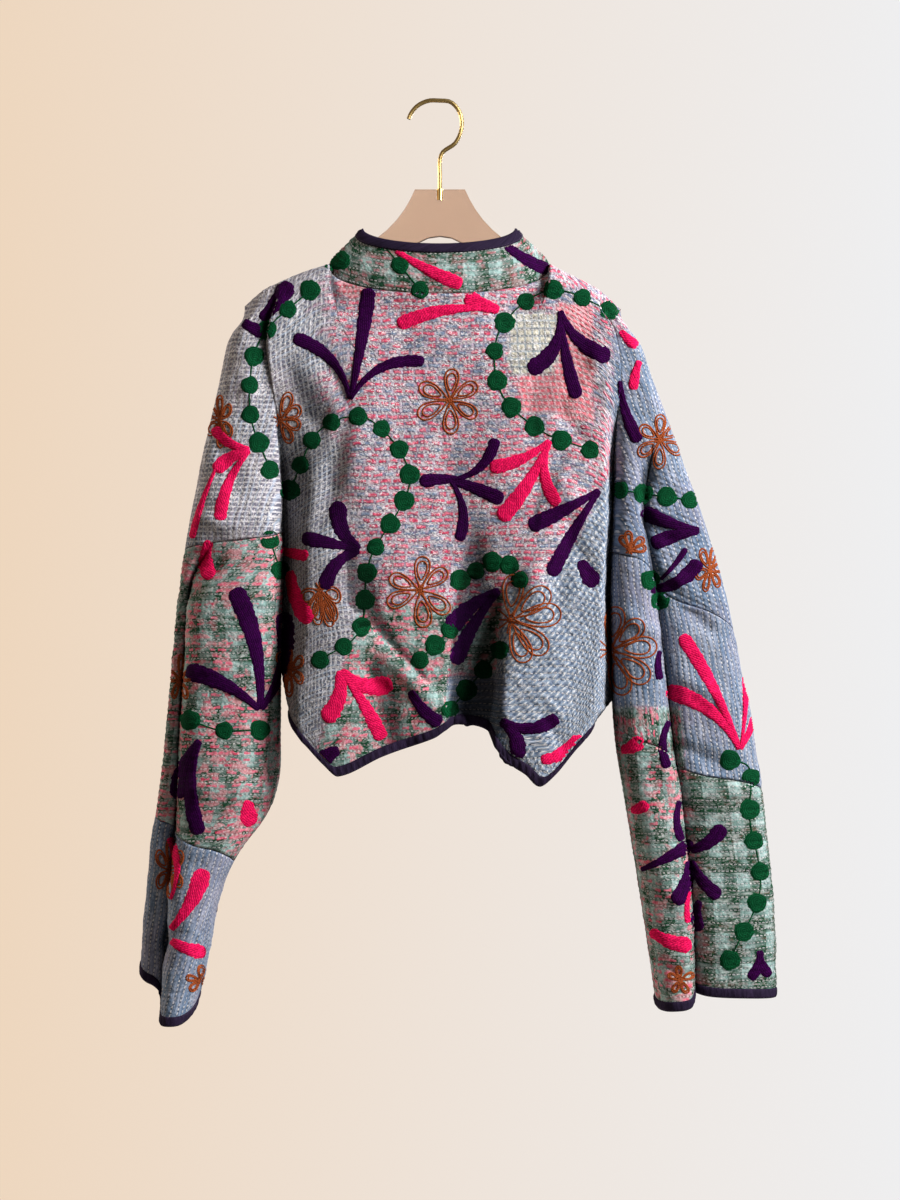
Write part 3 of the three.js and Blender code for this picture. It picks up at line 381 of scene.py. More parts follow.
def gridMesh(name, points, corners, keep=None):
    # points are in millimetres; corners gives each cell's four places on the "rows" map
    rows, columns = points.shape[:2]
    index = np.arange(rows * columns).reshape(rows, columns)
    cells = np.stack([index[:-1, :-1], index[1:, :-1], index[1:, 1:], index[:-1, 1:]], axis=-1)
    if keep is None:
        keep = np.ones(cells.shape[:2], bool)
    faces = cells[keep]
    used, packed = np.unique(faces, return_inverse=True)
    mesh = bpy.data.meshes.new(name)
    mesh.from_pydata((points.reshape(-1, 3)[used] * mm).tolist(), [], packed.reshape(faces.shape).tolist())
    layer = mesh.uv_layers.new(name="rows")
    layer.data.foreach_set("uv", (corners[keep].reshape(-1) * mm).astype(np.float32))
    piece = bpy.data.objects.new(name, mesh)
    bpy.context.scene.collection.objects.link(piece)
    mesh.shade_smooth()
    return piece, used


def addMasks(piece, masks, used):
    for name, values in masks.items():
        layer = piece.data.attributes.new(name, "FLOAT", "POINT")
        layer.data.foreach_set("value", np.clip(values, 0, 1).reshape(-1)[used].astype(np.float32))


def pick(piece):
    bpy.ops.object.select_all(action="DESELECT")
    bpy.context.view_layer.objects.active = piece
    piece.select_set(True)


def thicken(piece, wall):
    pick(piece)
    shell = piece.modifiers.new("wall", "SOLIDIFY")
    shell.thickness = wall * mm
    shell.offset = -1
    shell.use_even_offset = False
    bpy.ops.object.modifier_apply(modifier=shell.name)


# Where the patches of cloth lie
# Places on the embroiderer's chart: one unit is about a millimetre, seen from 2 m behind the back.
chart = {"unit": 1.04, "centreX": 450, "centreY": 600, "worldX": 13.5, "worldZ": -517.2, "away": 2000,
         "wide": 900}


def onChart(points):
    unit = chart["unit"] * (1 + points[..., 1] / chart["away"])
    return (chart["centreX"] + (points[..., 0] - chart["worldX"]) / unit,
            chart["centreY"] + (chart["worldZ"] - points[..., 2]) / unit)


def sideOf(x, y, line):
    # how far a place lies to the right of a line that runs down the chart, in chart units
    ys = np.array([p[1] for p in line], float)
    xs = np.array([p[0] for p in line], float)
    return x - np.interp(y, ys, xs)


def edge(distance, soft=1.2):
    return np.clip(distance / (2 * soft) + 0.5, 0, 1)


def box(x, y, sides, soft=1.2):
    left, right, top, bottom = sides
    return edge(np.minimum(np.minimum(x - left, right - x), np.minimum(y - top, bottom - y)), soft)


dashLine = [(352, 200), (338, 262), (326, 300), (332, 350), (322, 400), (350, 450), (346, 520), (352, 600)]
waffleLine = [(640, 440), (606, 480), (578, 540), (546, 582), (506, 590), (500, 640), (492, 760)]
greenLine = [(296, 655), (312, 650), (345, 628), (362, 606), (452, 604), (505, 588)]
sleeveLine = [(648, 540), (664, 640), (680, 700), (688, 790)]
lowSleeveLine = [(684, 700), (704, 960)]
frontDashLine = [(330, 300), (350, 700)]
# Boxes are left, right, top and bottom. The other places are across when named left or right, else down.
backPlaces = {
    "dashEnd": 606, "greenLeft": 332, "greenRight": 505, "greenLean": 700, "waffleTop": 470,
    "recess": (452, 506, 588, 800), "recessDash": 676, "recessGreen": 672, "ivory": (510, 560, 313, 374),
    "salmon": [(558, 592, 306, 420), (520, 562, 376, 412), (340, 364, 262, 296)],
    "indigo": (448, 506, 676, 800), "sleeveLeft": 612, "sleeveTop": 330,
    # The last box and its two heights: where the recess between the flares is darkened as painted shade,
    # fading in downwards.
    "shading": (453, 505, 560, 800), "shadingFrom": 600, "shadingTo": 640,
}
frontPlaces = {
    "dashTop": 330, "dashEnd": 560, "greenTop": 560, "greenLean": 450, "greenLeft": 300,
    "waffleRight": 350, "waffleTop": 480, "ivory": (330, 392, 360, 440), "salmon": (520, 580, 300, 360),
}
elbow = 706   # where the grey-blue sleeve changes its cloth


def onSleeve(x, y):
    return edge(x - backPlaces["sleeveLeft"], 3) * edge(y - backPlaces["sleeveTop"], 8)


def backPatches(points):
    x, y = onChart(points)
    ragged = 6 * unevenness(points, 14, 3)
    greenTop = np.interp(x, [p[0] for p in greenLine], [p[1] for p in greenLine])
    at = backPlaces
    dash = edge(sideOf(x, y, dashLine) + 3 * ragged, 14) * edge(at["dashEnd"] - y)
    slanting = edge(x - at["greenLeft"] + 0.3 * (y - at["greenLean"]))
    green = edge(y - greenTop) * edge(at["greenRight"] - x) * slanting
    recess = box(x, y, at["recess"])
    waffle = edge(sideOf(x, y, waffleLine)) * edge(y - at["waffleTop"])
    return {
        "dash": np.clip(dash * (1 - waffle) + 0.7 * recess * edge(at["recessDash"] - y, 12), 0, 1),
        "green": np.clip(green * (1 - waffle) - recess * edge(y - at["recessGreen"], 8), 0, 1),
        "waffle": waffle,
        "ivory": box(x + 0.4 * ragged, y + 0.4 * ragged, at["ivory"]),
        "salmon": np.clip(sum(box(x + ragged, y + ragged, sides) for sides in at["salmon"]), 0, 1),
        "indigo": box(x, y, at["indigo"]) + onSleeve(x, y),
        # painted shade in the recess between the flares
        "hollow": 0.72 * box(x, y, at["shading"], 2) * between(at["shadingFrom"], at["shadingTo"], y),
    }


def plain(points, **levels):
    return {name: np.full(points.shape[:-1], float(level)) for name, level in levels.items()}


# Shader maths
class Wire:
    def __init__(self, tree, socket):
        self.tree, self.socket = tree, socket

    def node(self, kind, inputs=None, output=0, **settings):
        made = self.tree.nodes.new("ShaderNode" + kind)
        for name, value in settings.items():
            setattr(made, name, value)
        for name, value in (inputs or {}).items():
            self.plug(made.inputs[name], value)
        return Wire(self.tree, made.outputs[output])

    def plug(self, socket, value):
        if isinstance(value, Wire):
            self.tree.links.new(value.socket, socket)
        elif hasattr(value, "__len__") and len(value) == 3 and len(socket.default_value) == 4:
            socket.default_value = (*value, 1)
        else:
            socket.default_value = value

    def maths(self, operation, *others, clamp=False):
        return self.node("Math", dict(enumerate((self, *others))), operation=operation, use_clamp=clamp)

    def __add__(self, other):
        return self.maths("ADD", other)

    def __sub__(self, other):
        return self.maths("SUBTRACT", other)

    def __mul__(self, other):
        return self.maths("MULTIPLY", other)

    def __truediv__(self, other):
        return self.maths("DIVIDE", other)

    def __rsub__(self, other):
        return self.node("Math", {0: other, 1: self}, operation="SUBTRACT")

    __radd__ = __add__
    __rmul__ = __mul__

    def floor(self):
        return self.maths("FLOOR")

    def fract(self):
        return self.maths("FRACT")

    def size(self):
        return self.maths("ABSOLUTE")

    def clamped(self):
        return self.maths("ADD", 0, clamp=True)

    def within(self, half, soft):
        # 1 where this value is nearer to 0 than half
        return ((half - self.size()) / soft + 0.5).clamped()

    def over(self, level, soft):
        return ((self - level) / soft + 0.5).clamped()


def rowsMap(wire):
    # along the rows of stitches and across them, in mm
    return [wire.node("SeparateXYZ", {0: wire.node("UVMap", uv_map="rows")}, output=n) * 1000 for n in (0, 1)]


def colourMix(factor, a, b, way="MIX"):
    wire = next(w for w in (factor, a, b) if isinstance(w, Wire))
    return wire.node("Mix", {0: factor, 6: a, 7: b}, output=2, data_type="RGBA", blend_type=way)


def newMaterial(name):
    material = bpy.data.materials.new(name)
    material.use_nodes = True
    tree = material.node_tree
    shader = tree.nodes["Principled BSDF"]
    return material, shader, Wire(tree, None)


def finishWith(shader, wire, colour, height, roughness, strength=1.0, reach=1.0):
    bump = wire.node("Bump", {"Height": height, "Strength": strength, "Distance": reach * mm})
    wire.plug(shader.inputs["Base Color"], colour)
    wire.plug(shader.inputs["Roughness"], roughness)
    wire.plug(shader.inputs["Normal"], bump)


# Quilted cloth
quilting = {
    "pitch": 6.6,          # between two rows of running stitches, in mm
    "stitch": 4.4,         # from one stitch to the next
    "dash": 12.0,          # the longer coloured dashes between the rows
    "check": 5.0,
    "thread": (0.86, 0.83, 0.80),
}
cloths = {
    # pale, cross: the threads of the check, on a deep ground; warm: a tint that comes and goes
    "quilt back": {"pale": (0.78, 0.77, 0.80), "cross": (0.46, 0.56, 0.70), "deep": (0.15, 0.17, 0.24),
                   "warm": (0.42, 0.30, 0.34), "seed": 1.0},
    "quilt fronts": {"pale": (0.78, 0.77, 0.80), "cross": (0.46, 0.56, 0.70), "deep": (0.15, 0.17, 0.24),
                     "warm": (0.42, 0.30, 0.34), "seed": 7.0},
    "quilt plaid": {"pale": (0.60, 0.66, 0.64), "cross": (0.50, 0.58, 0.60), "deep": (0.16, 0.20, 0.24),
                    "warm": (0.36, 0.28, 0.28), "seed": 13.0},
    "quilt indigo": {"pale": (0.60, 0.62, 0.72), "cross": (0.44, 0.50, 0.62), "deep": (0.13, 0.19, 0.32),
                     "warm": (0.34, 0.28, 0.36), "seed": 21.0},
}
tones = {
    "bandDeep": (0.19, 0.16, 0.27), "bandPale": (0.76, 0.60, 0.70),
    "slateRim": (0.10, 0.13, 0.21), "pinkRim": (0.32, 0.035, 0.080), "slate": (0.20, 0.26, 0.38),
    "pink": (0.66, 0.055, 0.125), "softPink": (0.80, 0.19, 0.28), "blot": (0.72, 0.27, 0.31),
    "leafGreen": (0.016, 0.070, 0.036), "aqua": (0.39, 0.58, 0.57), "paleAqua": (0.70, 0.76, 0.75),
    "waffleDeep": (0.11, 0.16, 0.26), "wafflePale": (0.42, 0.51, 0.63),
    "blueDeep": (0.135, 0.20, 0.31), "bluePale": (0.42, 0.46, 0.58), "blueWarm": (0.34, 0.28, 0.38),
    "ivoryDeep": (0.40, 0.38, 0.32), "ivory": (0.84, 0.80, 0.66), "ivoryPane": (0.26, 0.34, 0.42),
    "salmon": (0.84, 0.17, 0.22), "salmonPale": (0.82, 0.40, 0.45), "salmonDeep": (0.34, 0.14, 0.17),
    "wisp": (0.84, 0.81, 0.83), "dullThread": (0.60, 0.58, 0.62),
}


def quiltedCloth(name):
    look = cloths[name]
    material, shader, wire = newMaterial(name)
    u, w = rowsMap(wire)
    mask = {n: wire.node("Attribute", output=2, attribute_name=n)
            for n in ("dash", "green", "waffle", "ivory", "salmon", "indigo", "calm")}
    hollow = wire.node("Attribute", output=2, attribute_name="hollow")

    def cloudy(scale, detail=2.0, stretch=1.0):
        spot = wire.node("CombineXYZ", {0: u / stretch, 1: w, 2: look["seed"] + scale})
        return wire.node("TexNoise", {"Vector": spot, "Scale": 1 / scale, "Detail": detail})

    wander = cloudy(26)
    wobble = cloudy(5)
    lifted = w + (wander - 0.5) * 5 + (wobble - 0.5) * 1.6
    rowAt = lifted / quilting["pitch"]
    row, across = rowAt.floor(), rowAt.fract() - 0.5
    rowChance = wire.node("TexWhiteNoise", {"W": row + look["seed"]}, noise_dimensions="1D")

    stitchAt = u / quilting["stitch"] + rowChance * 9
    stitchSpot = wire.node("CombineXYZ", {0: stitchAt.floor(), 1: row, 2: look["seed"]})
    stitchChance = wire.node("TexWhiteNoise", {"Vector": stitchSpot}, noise_dimensions="3D")
    stitch = across.within(0.085, 0.06) * (stitchAt.fract() - 0.5).within(0.22 + 0.14 * stitchChance, 0.08)

    # longer dashes lie half way between the rows
    midRow = (rowAt + 0.5).floor()
    midAcross = (rowAt + 0.5).fract() - 0.5
    midChance = wire.node("TexWhiteNoise", {"W": midRow + 50}, noise_dimensions="1D")
    dashAt = u / quilting["dash"] + midChance * 17
    dashSpot = wire.node("CombineXYZ", {0: dashAt.floor(), 1: midRow, 2: look["seed"]})
    dashChance = wire.node("TexWhiteNoise", {"Vector": dashSpot}, noise_dimensions="3D")
    dashColourChance = wire.node("TexWhiteNoise", {"Vector": dashSpot, "W": 3.0}, noise_dimensions="4D")
    dashLong = 0.24 + 0.22 * dashChance
    dashAcross = midAcross + (wobble - 0.5) * 0.5
    dashOutline = dashAcross.within(0.31, 0.12) * (dashAt.fract() - 0.5).within(dashLong + 0.05, 0.07)
    dashShape = dashAcross.within(0.19, 0.12) * (dashAt.fract() - 0.5).within(dashLong, 0.07)
    shortAt = u / 5.2 + midChance * 31
    shortSpot = wire.node("CombineXYZ", {0: shortAt.floor(), 1: midRow, 2: look["seed"] + 9})
    shortChance = wire.node("TexWhiteNoise", {"Vector": shortSpot}, noise_dimensions="3D")

    # checked ground: deep and pale threads both ways
    checkU = (u / quilting["check"] + wobble * 0.18).fract() - 0.5
    checkW = (lifted / quilting["check"] + wobble * 0.18).fract() - 0.5
    faded = (cloudy(9) - 0.5) * 0.36
    colour = colourMix((checkU.within(0.16, 0.10) * 0.88 + faded).clamped(), look["deep"], look["pale"])
    colour = colourMix((checkW.within(0.14, 0.10) * 0.80 + faded).clamped(), colour, look["cross"])
    colour = colourMix((cloudy(60) - 0.34).clamped() * 1.1, colour, look["warm"])

    # the woven band of pink and slate dashes on a pale ground
    paleShare = (cloudy(3.0, stretch=2.2) * 2.4 - 0.75).clamped()
    ground = colourMix(paleShare, tones["bandDeep"], tones["bandPale"])
    pinkShare = dashColourChance.over(0.30 - 0.9 * (cloudy(44) - 0.5), 0.03)
    rim = colourMix(pinkShare, tones["slateRim"], tones["pinkRim"])
    pinks = colourMix(shortChance, tones["pink"], tones["softPink"])
    dashColour = colourMix(pinkShare, tones["slate"], pinks)
    dashed = colourMix((dashOutline * 0.8).clamped(), ground, rim)
    dashed = colourMix((dashShape * 0.95).clamped(), dashed, dashColour)
    colour = colourMix(mask["dash"], colour, dashed)

    # green and aqua bands with pink flecks along the rows
    bandU = (u / 27 + 0.1).fract().over(0.5, 0.12)
    bandW = (w / 31 + 0.3).fract().over(0.5, 0.12)
    depth = bandU * 0.52 + bandW * 0.50 + mask["calm"] * 0.10
    depth = (depth + (cloudy(7, stretch=2.0, detail=1.0) - 0.5) * 1.15 + 0.24).clamped()
    plaid = colourMix(depth, tones["aqua"], tones["leafGreen"])
    plaid = colourMix((cloudy(4, stretch=3.0) - 0.54).clamped() * 2.6, plaid, tones["paleAqua"])
    fleckZone = cloudy(24).over(0.45, 0.08)
    blot = cloudy(8.5, stretch=1.4).over(0.535, 0.04) * fleckZone * (1 - mask["calm"])
    plaid = colourMix(blot * 0.8, plaid, tones["blot"])
    fleck = dashShape * dashColourChance.over(0.36, 0.03) * fleckZone * (1 - mask["calm"] * 0.9)
    plaid = colourMix((fleck * 0.95).clamped(), plaid, pinks)
    colour = colourMix(mask["green"], colour, plaid)

    # pale puffed cloth whose rows cross at a slant
    slant = (u + w * 0.55) / 6.8 + (wobble - 0.5) * 0.5
    cross = (u * 0.8 - w) / 9.5 + (wander - 0.5) * 1.2
    puffs = (1 - (slant.fract() * 2 - 1).size()) * 0.6 + (1 - (cross.fract() * 2 - 1).size()) * 0.4
    sewn = (slant.fract() - 0.5).within(0.09, 0.06) * (cross.fract() - 0.5).within(0.26, 0.08)
    # painted light: the raised puffs are painted paler and the sunk lines between them deeper, with some
    # random tone
    wafflePaintedLight = (puffs * 1.3 - 0.22 + (wobble - 0.5) * 1.2).clamped()
    waffleColour = colourMix(wafflePaintedLight, tones["waffleDeep"], tones["wafflePale"])
    waffleColour = colourMix(sewn * 0.8, waffleColour, quilting["thread"])
    colour = colourMix(mask["waffle"], colour, waffleColour)

    # slate blue with fine pale lengthwise threads
    threads = (cloudy(2.2, stretch=12.0) - 0.46).clamped() * 4
    blue = colourMix(threads.clamped() * 0.8, tones["blueDeep"], tones["bluePale"])
    blue = colourMix((cloudy(48) - 0.45).clamped() * 1.6, blue, tones["blueWarm"])
    colour = colourMix(mask["indigo"], colour, blue)

    ivoryGround = colourMix((cloudy(2.6) * 2.4 - 0.6).clamped(), tones["ivoryDeep"], tones["ivory"])
    pane = 1 - (1 - (u / 8.0).fract().over(0.74, 0.1)) * (1 - (w / 8.0).fract().over(0.74, 0.1))
    ivoryGround = colourMix(pane * 0.75, ivoryGround, tones["ivoryPane"])
    colour = colourMix(mask["ivory"], colour, ivoryGround)
    salmonLine = 1 - (1 - (u / 6.4).fract().over(0.62, 0.1)) * (1 - (w / 6.4).fract().over(0.62, 0.1))
    salmonGround = colourMix(salmonLine, tones["salmon"], tones["salmonPale"])
    salmonGround = colourMix((cloudy(5) - 0.5).clamped() * 1.6, salmonGround, tones["salmonDeep"])
    colour = colourMix(mask["salmon"], colour, salmonGround)

    # frayed pale threads that wander along the rows
    wisps = (cloudy(2.3, stretch=2.4, detail=3.0) - 0.5).within(0.030, 0.02)
    wisps = wisps * (cloudy(17) - 0.27).clamped() * 3.0
    for name, less in (("waffle", 0.6), ("green", 0.6), ("indigo", 0.75), ("salmon", 0.6)):
        wisps = wisps * (1 - mask[name] * less)
    colour = colourMix(wisps.clamped(), colour, tones["wisp"])

    stitchColour = colourMix(stitchChance, quilting["thread"], tones["dullThread"])
    colour = colourMix((stitch * (0.9 - mask["green"] * 0.25)).clamped(), colour, stitchColour)

    # the cloth puffs between its rows, puckers at the stitches, and is a little worn
    away = across.size() * 2
    puff = 1 - (1 - away) * (1 - away)
    pucker = cloudy(3.6, stretch=0.8) - 0.5
    weave = ((u * 7.0).maths("SINE") + (w * 7.0).maths("SINE")) * 0.035
    height = (puff * 0.6 + pucker * (1.5 - 0.6 * away) + stitch * 0.35 + dashShape * mask["dash"] * 0.22
              + puffs * mask["waffle"] * 1.1 + (cloudy(8) - 0.5) * 0.5 + weave)
    worn = (cloudy(36) - 0.5) * 0.35
    # painted light and shade: the colour is darker in the valleys between the rows, lighter and darker over
    # the puckers, a little lighter on the stitches and darker in the folds; worn is random tone
    shade = (0.56 + puff * 0.34 + pucker * 1.1 + worn + stitch * 0.16) * (1 - hollow * 0.80)
    shadeGrey = wire.node("CombineColor", {0: shade, 1: shade, 2: shade})
    colour = colourMix(1.0, colour, shadeGrey, way="MULTIPLY")
    finishWith(shader, wire, colour, height, 0.86 + 0.1 * (wobble - 0.5), strength=1.0, reach=0.9)
    wire.plug(shader.inputs["Specular IOR Level"], 0.02)
    return material


# Embroidery threads
yarns = {
    # row and link: a stitch's width and length, in mm; slant turns the rows away from a leaf's length
    # deep and light: the yarn's colour where it is painted shaded and where it is painted lit
    "purple": {"deep": (0.004, 0.0004, 0.007), "light": (0.036, 0.0015, 0.050),
               "row": 2.0, "link": 3.0, "slant": 0.10},
    "pink": {"deep": (0.28, 0.001, 0.025), "light": (0.92, 0.012, 0.120),
             "row": 2.7, "link": 2.9, "slant": 0.75},
    "green": {"deep": (0.0006, 0.006, 0.002), "light": (0.004, 0.080, 0.028),
              "row": 2.1, "link": 2.9, "slant": 0.0},
    "rust": {"deep": (0.06, 0.010, 0.004), "light": (0.35, 0.080, 0.024),
             "row": 2.2, "link": 2.2, "slant": 0.0},
}


def chainStitch(name):
    look = yarns[name]
    material, shader, wire = newMaterial(name + " yarn")
    u, v = rowsMap(wire)
    place = wire.node("CombineXYZ", {0: u, 1: v})
    wobble = wire.node("TexNoise", {"Vector": place, "Scale": 0.45, "Detail": 2.0})
    rowAt = (v + u * look["slant"] + (wobble - 0.5) * 1.1) / look["row"]
    across = rowAt.fract() - 0.5
    rowChance = wire.node("TexWhiteNoise", {"W": rowAt.floor()}, noise_dimensions="1D")
    linkAt = u / look["link"] + across.size() * 1.1 + rowChance * 5
    spot = wire.node("CombineXYZ", {0: linkAt.floor(), 1: rowAt.floor()})
    chance = wire.node("TexWhiteNoise", {"Vector": spot}, noise_dimensions="3D")
    rounded = 1 - across * across * 4
    link = (linkAt.fract() - 0.5).size() * 2
    height = rounded * 0.6 + (1 - link * link) * 0.5 + (wobble - 0.5) * 0.5
    # painted light and shade: the rounded tops of the rows and the middles of the links are painted lighter
    # and the grooves darker, with random tone; folds get painted shade below
    shadeAndTone = (rounded * 0.50 + (1 - link) * 0.45 + chance * 0.40 + (wobble - 0.5) * 0.7 - 0.12).clamped()
    hollow = wire.node("Attribute", output=2, attribute_name="hollow")
    shadeAndTone = shadeAndTone * (1 - hollow * 0.8)
    colour = colourMix(shadeAndTone, look["deep"], look["light"])
    finishWith(shader, wire, colour, height, 0.74 + 0.15 * (chance - 0.5), strength=0.9, reach=0.55)
    wire.plug(shader.inputs["Specular IOR Level"], 0.02)
    return material


# deep and light: the cotton's colour where it is painted shaded and where it is painted lit
cotton = {"deep": (0.006, 0.004, 0.012), "light": (0.036, 0.022, 0.056), "thread": (0.10, 0.08, 0.13),
          "stitch": 3.4, "stitchAt": 8.8}


def boundCotton():
    material, shader, wire = newMaterial("aubergine binding")
    u, v = rowsMap(wire)
    place = wire.node("CombineXYZ", {0: u, 1: v * 0.25})
    gathers = wire.node("TexNoise", {"Vector": place, "Scale": 0.36, "Detail": 2.0})
    clouds = wire.node("TexNoise", {"Vector": place, "Scale": 0.05, "Detail": 2.0})
    weave = (u * 9.0).maths("SINE") * (v * 9.0).maths("SINE")
    stitchAt = u / cotton["stitch"]
    stitch = (v - cotton["stitchAt"]).within(0.3, 0.2) * (stitchAt.fract() - 0.5).within(0.3, 0.1)
    # partly painted light: the raised gathers are painted lighter, with random clouds of tone
    shadeAndTone = (gathers * 0.9 + (clouds - 0.5) * 0.8 + weave * 0.05).clamped()
    colour = colourMix(shadeAndTone, cotton["deep"], cotton["light"])
    colour = colourMix(stitch * 0.35, colour, cotton["thread"])
    height = gathers * 1.3 + weave * 0.06 - stitch * 0.3
    finishWith(shader, wire, colour, height, 0.8 - gathers * 0.15, reach=0.8)
    wire.plug(shader.inputs["Specular IOR Level"], 0.05)
    return material


acrylic = {"deep": (0.66, 0.47, 0.36), "pale": (0.74, 0.56, 0.44), "clear": 0.86, "index": 1.45}


def smokeAcrylic():
    material, shader, wire = newMaterial("smoke acrylic")
    spot = wire.node("TexCoord", output=3)
    haze = wire.node("TexNoise", {"Vector": spot, "Scale": 9.0, "Detail": 3.0})
    scuffs = wire.node("TexNoise", {"Vector": spot, "Scale": 160.0, "Detail": 2.0})
    colour = colourMix(haze, acrylic["deep"], acrylic["pale"])
    wire.plug(shader.inputs["Base Color"], colour)
    wire.plug(shader.inputs["Roughness"], 0.05 + 0.06 * (haze * scuffs))
    wire.plug(shader.inputs["Transmission Weight"], acrylic["clear"])
    wire.plug(shader.inputs["IOR"], acrylic["index"])
    return material


brass = {"stained": (0.60, 0.40, 0.13), "bright": (0.80, 0.60, 0.27), "rough": 0.27}


def satinBrass():
    material, shader, wire = newMaterial("satin brass")
    spot = wire.node("TexCoord", output=3)
    drawn = wire.node("Mapping", {"Vector": spot, "Scale": (900.0, 900.0, 60.0)})
    lines = wire.node("TexNoise", {"Vector": drawn, "Scale": 1.0, "Detail": 3.0})
    stain = wire.node("TexNoise", {"Vector": spot, "Scale": 70.0, "Detail": 3.0})
    colour = colourMix((stain * 1.4 - 0.3).clamped(), brass["stained"], brass["bright"])
    wire.plug(shader.inputs["Metallic"], 1.0)
    finishWith(shader, wire, colour, lines, brass["rough"] + 0.16 * stain, strength=0.25, reach=0.1)
    return material


finishes = {
    "quilt_back": quiltedCloth("quilt back"),
    "quilt_front": quiltedCloth("quilt fronts"),
    "quilt_plaid": quiltedCloth("quilt plaid"),
    "quilt_indigo": quiltedCloth("quilt indigo"),
    "binding": boundCotton(),
    "smoke_acrylic": smokeAcrylic(),
    "brass": satinBrass(),
}
print("materials made")

# Cloth pieces
relief = {"row": 0.7, "uneven": 1.3, "unevenSize": 26, "fine": 0.55, "fineSize": 6, "edge": 3, "crease": 2.3}


def surfaced(points, w, seed, creased=True):
    # the finished outer face: rows, creases and unevenness, fading at the piece's own edges
    rows, columns = points.shape[:2]
    i = np.minimum(np.arange(rows), np.arange(rows)[::-1])[:, None]
    j = np.minimum(np.arange(columns), np.arange(columns)[::-1])[None, :]
    inside = smooth(np.minimum(i, j) / relief["edge"])
    ridge = 0.5 - 0.5 * np.cos(2 * math.pi * w / quilting["pitch"])
    high = relief["row"] * ridge + relief["uneven"] * unevenness(points, relief["unevenSize"], seed)
    high = high + relief["fine"] * unevenness(points, relief["fineSize"], seed + 5)
    if creased:
        high = high + relief["crease"] * creaseHeight(points)
    return points + outward(points) * (high * inside)[..., None]


def blurred(values, axis, reach):
    # a running mean along one axis of a grid
    padded = np.concatenate([np.repeat(values.take([0], axis), reach, axis), values,
                             np.repeat(values.take([-1], axis), reach, axis)], axis)
    total = np.cumsum(padded, axis)
    wide = 2 * reach
    return (total.take(range(wide, total.shape[axis]), axis)
            - total.take(range(total.shape[axis] - wide), axis)) / wide


def foldShade(points):
    # 0 to 1: how deep each place lies in a fold of the cloth; this darkens the colour there as painted shade
    normals = outward(points)
    deepest = np.zeros(points.shape[:2])
    for reach, depth in ((4, 2.0), (12, 9.0)):
        around = points
        for _ in range(3):
            around = blurred(blurred(around, 0, reach), 1, reach)
        sunk = ((around - points) * normals).sum(-1) / depth
        deepest = np.maximum(deepest, smooth(sunk))
    return deepest


def runAcross(points, start):
    # distance along each row from a start column, so that stitches keep their length over folds
    step = np.linalg.norm(np.diff(points, axis=1), axis=-1)
    along = np.concatenate([np.zeros((len(points), 1)), np.cumsum(step, axis=1)], axis=1)
    return along - along[:, start:start + 1]


def cornersOf(u, w):
    both = np.stack([u, w], axis=-1)
    return np.stack([both[:-1, :-1], both[1:, :-1], both[1:, 1:], both[:-1, 1:]], axis=2)


def finishPiece(piece, slot, node, wall):
    piece.data.materials.append(finishes[slot])
    thicken(piece, wall)
    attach(piece, "root")
    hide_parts(node)


def overShoulder(rows):
    # shares of a piece's height for its rows, closer together where the cloth turns over
    return np.linspace(0, 1, rows) ** 1.18


def seamHeight(name, side, t):
    return read(seams[name], "t", "near" if side < 0 else "far", t)


def upperEnd(side, c):
    left = seamHeight("leftUpper", side, np.clip(c, 0, 1))
    right = seamHeight("rightUpper", side, np.clip(3 - c, 0, 1))
    return mix(left, right, np.clip(c - 1, 0, 1))


# cells over a sleeve and over the body; how far the rows dip beside a sleeve, in mm; where its rows start
panels = {"lobe": 27, "body": 112, "upperRows": 128, "lowerRows": 92, "rowDip": 36, "overlap": 0.07}


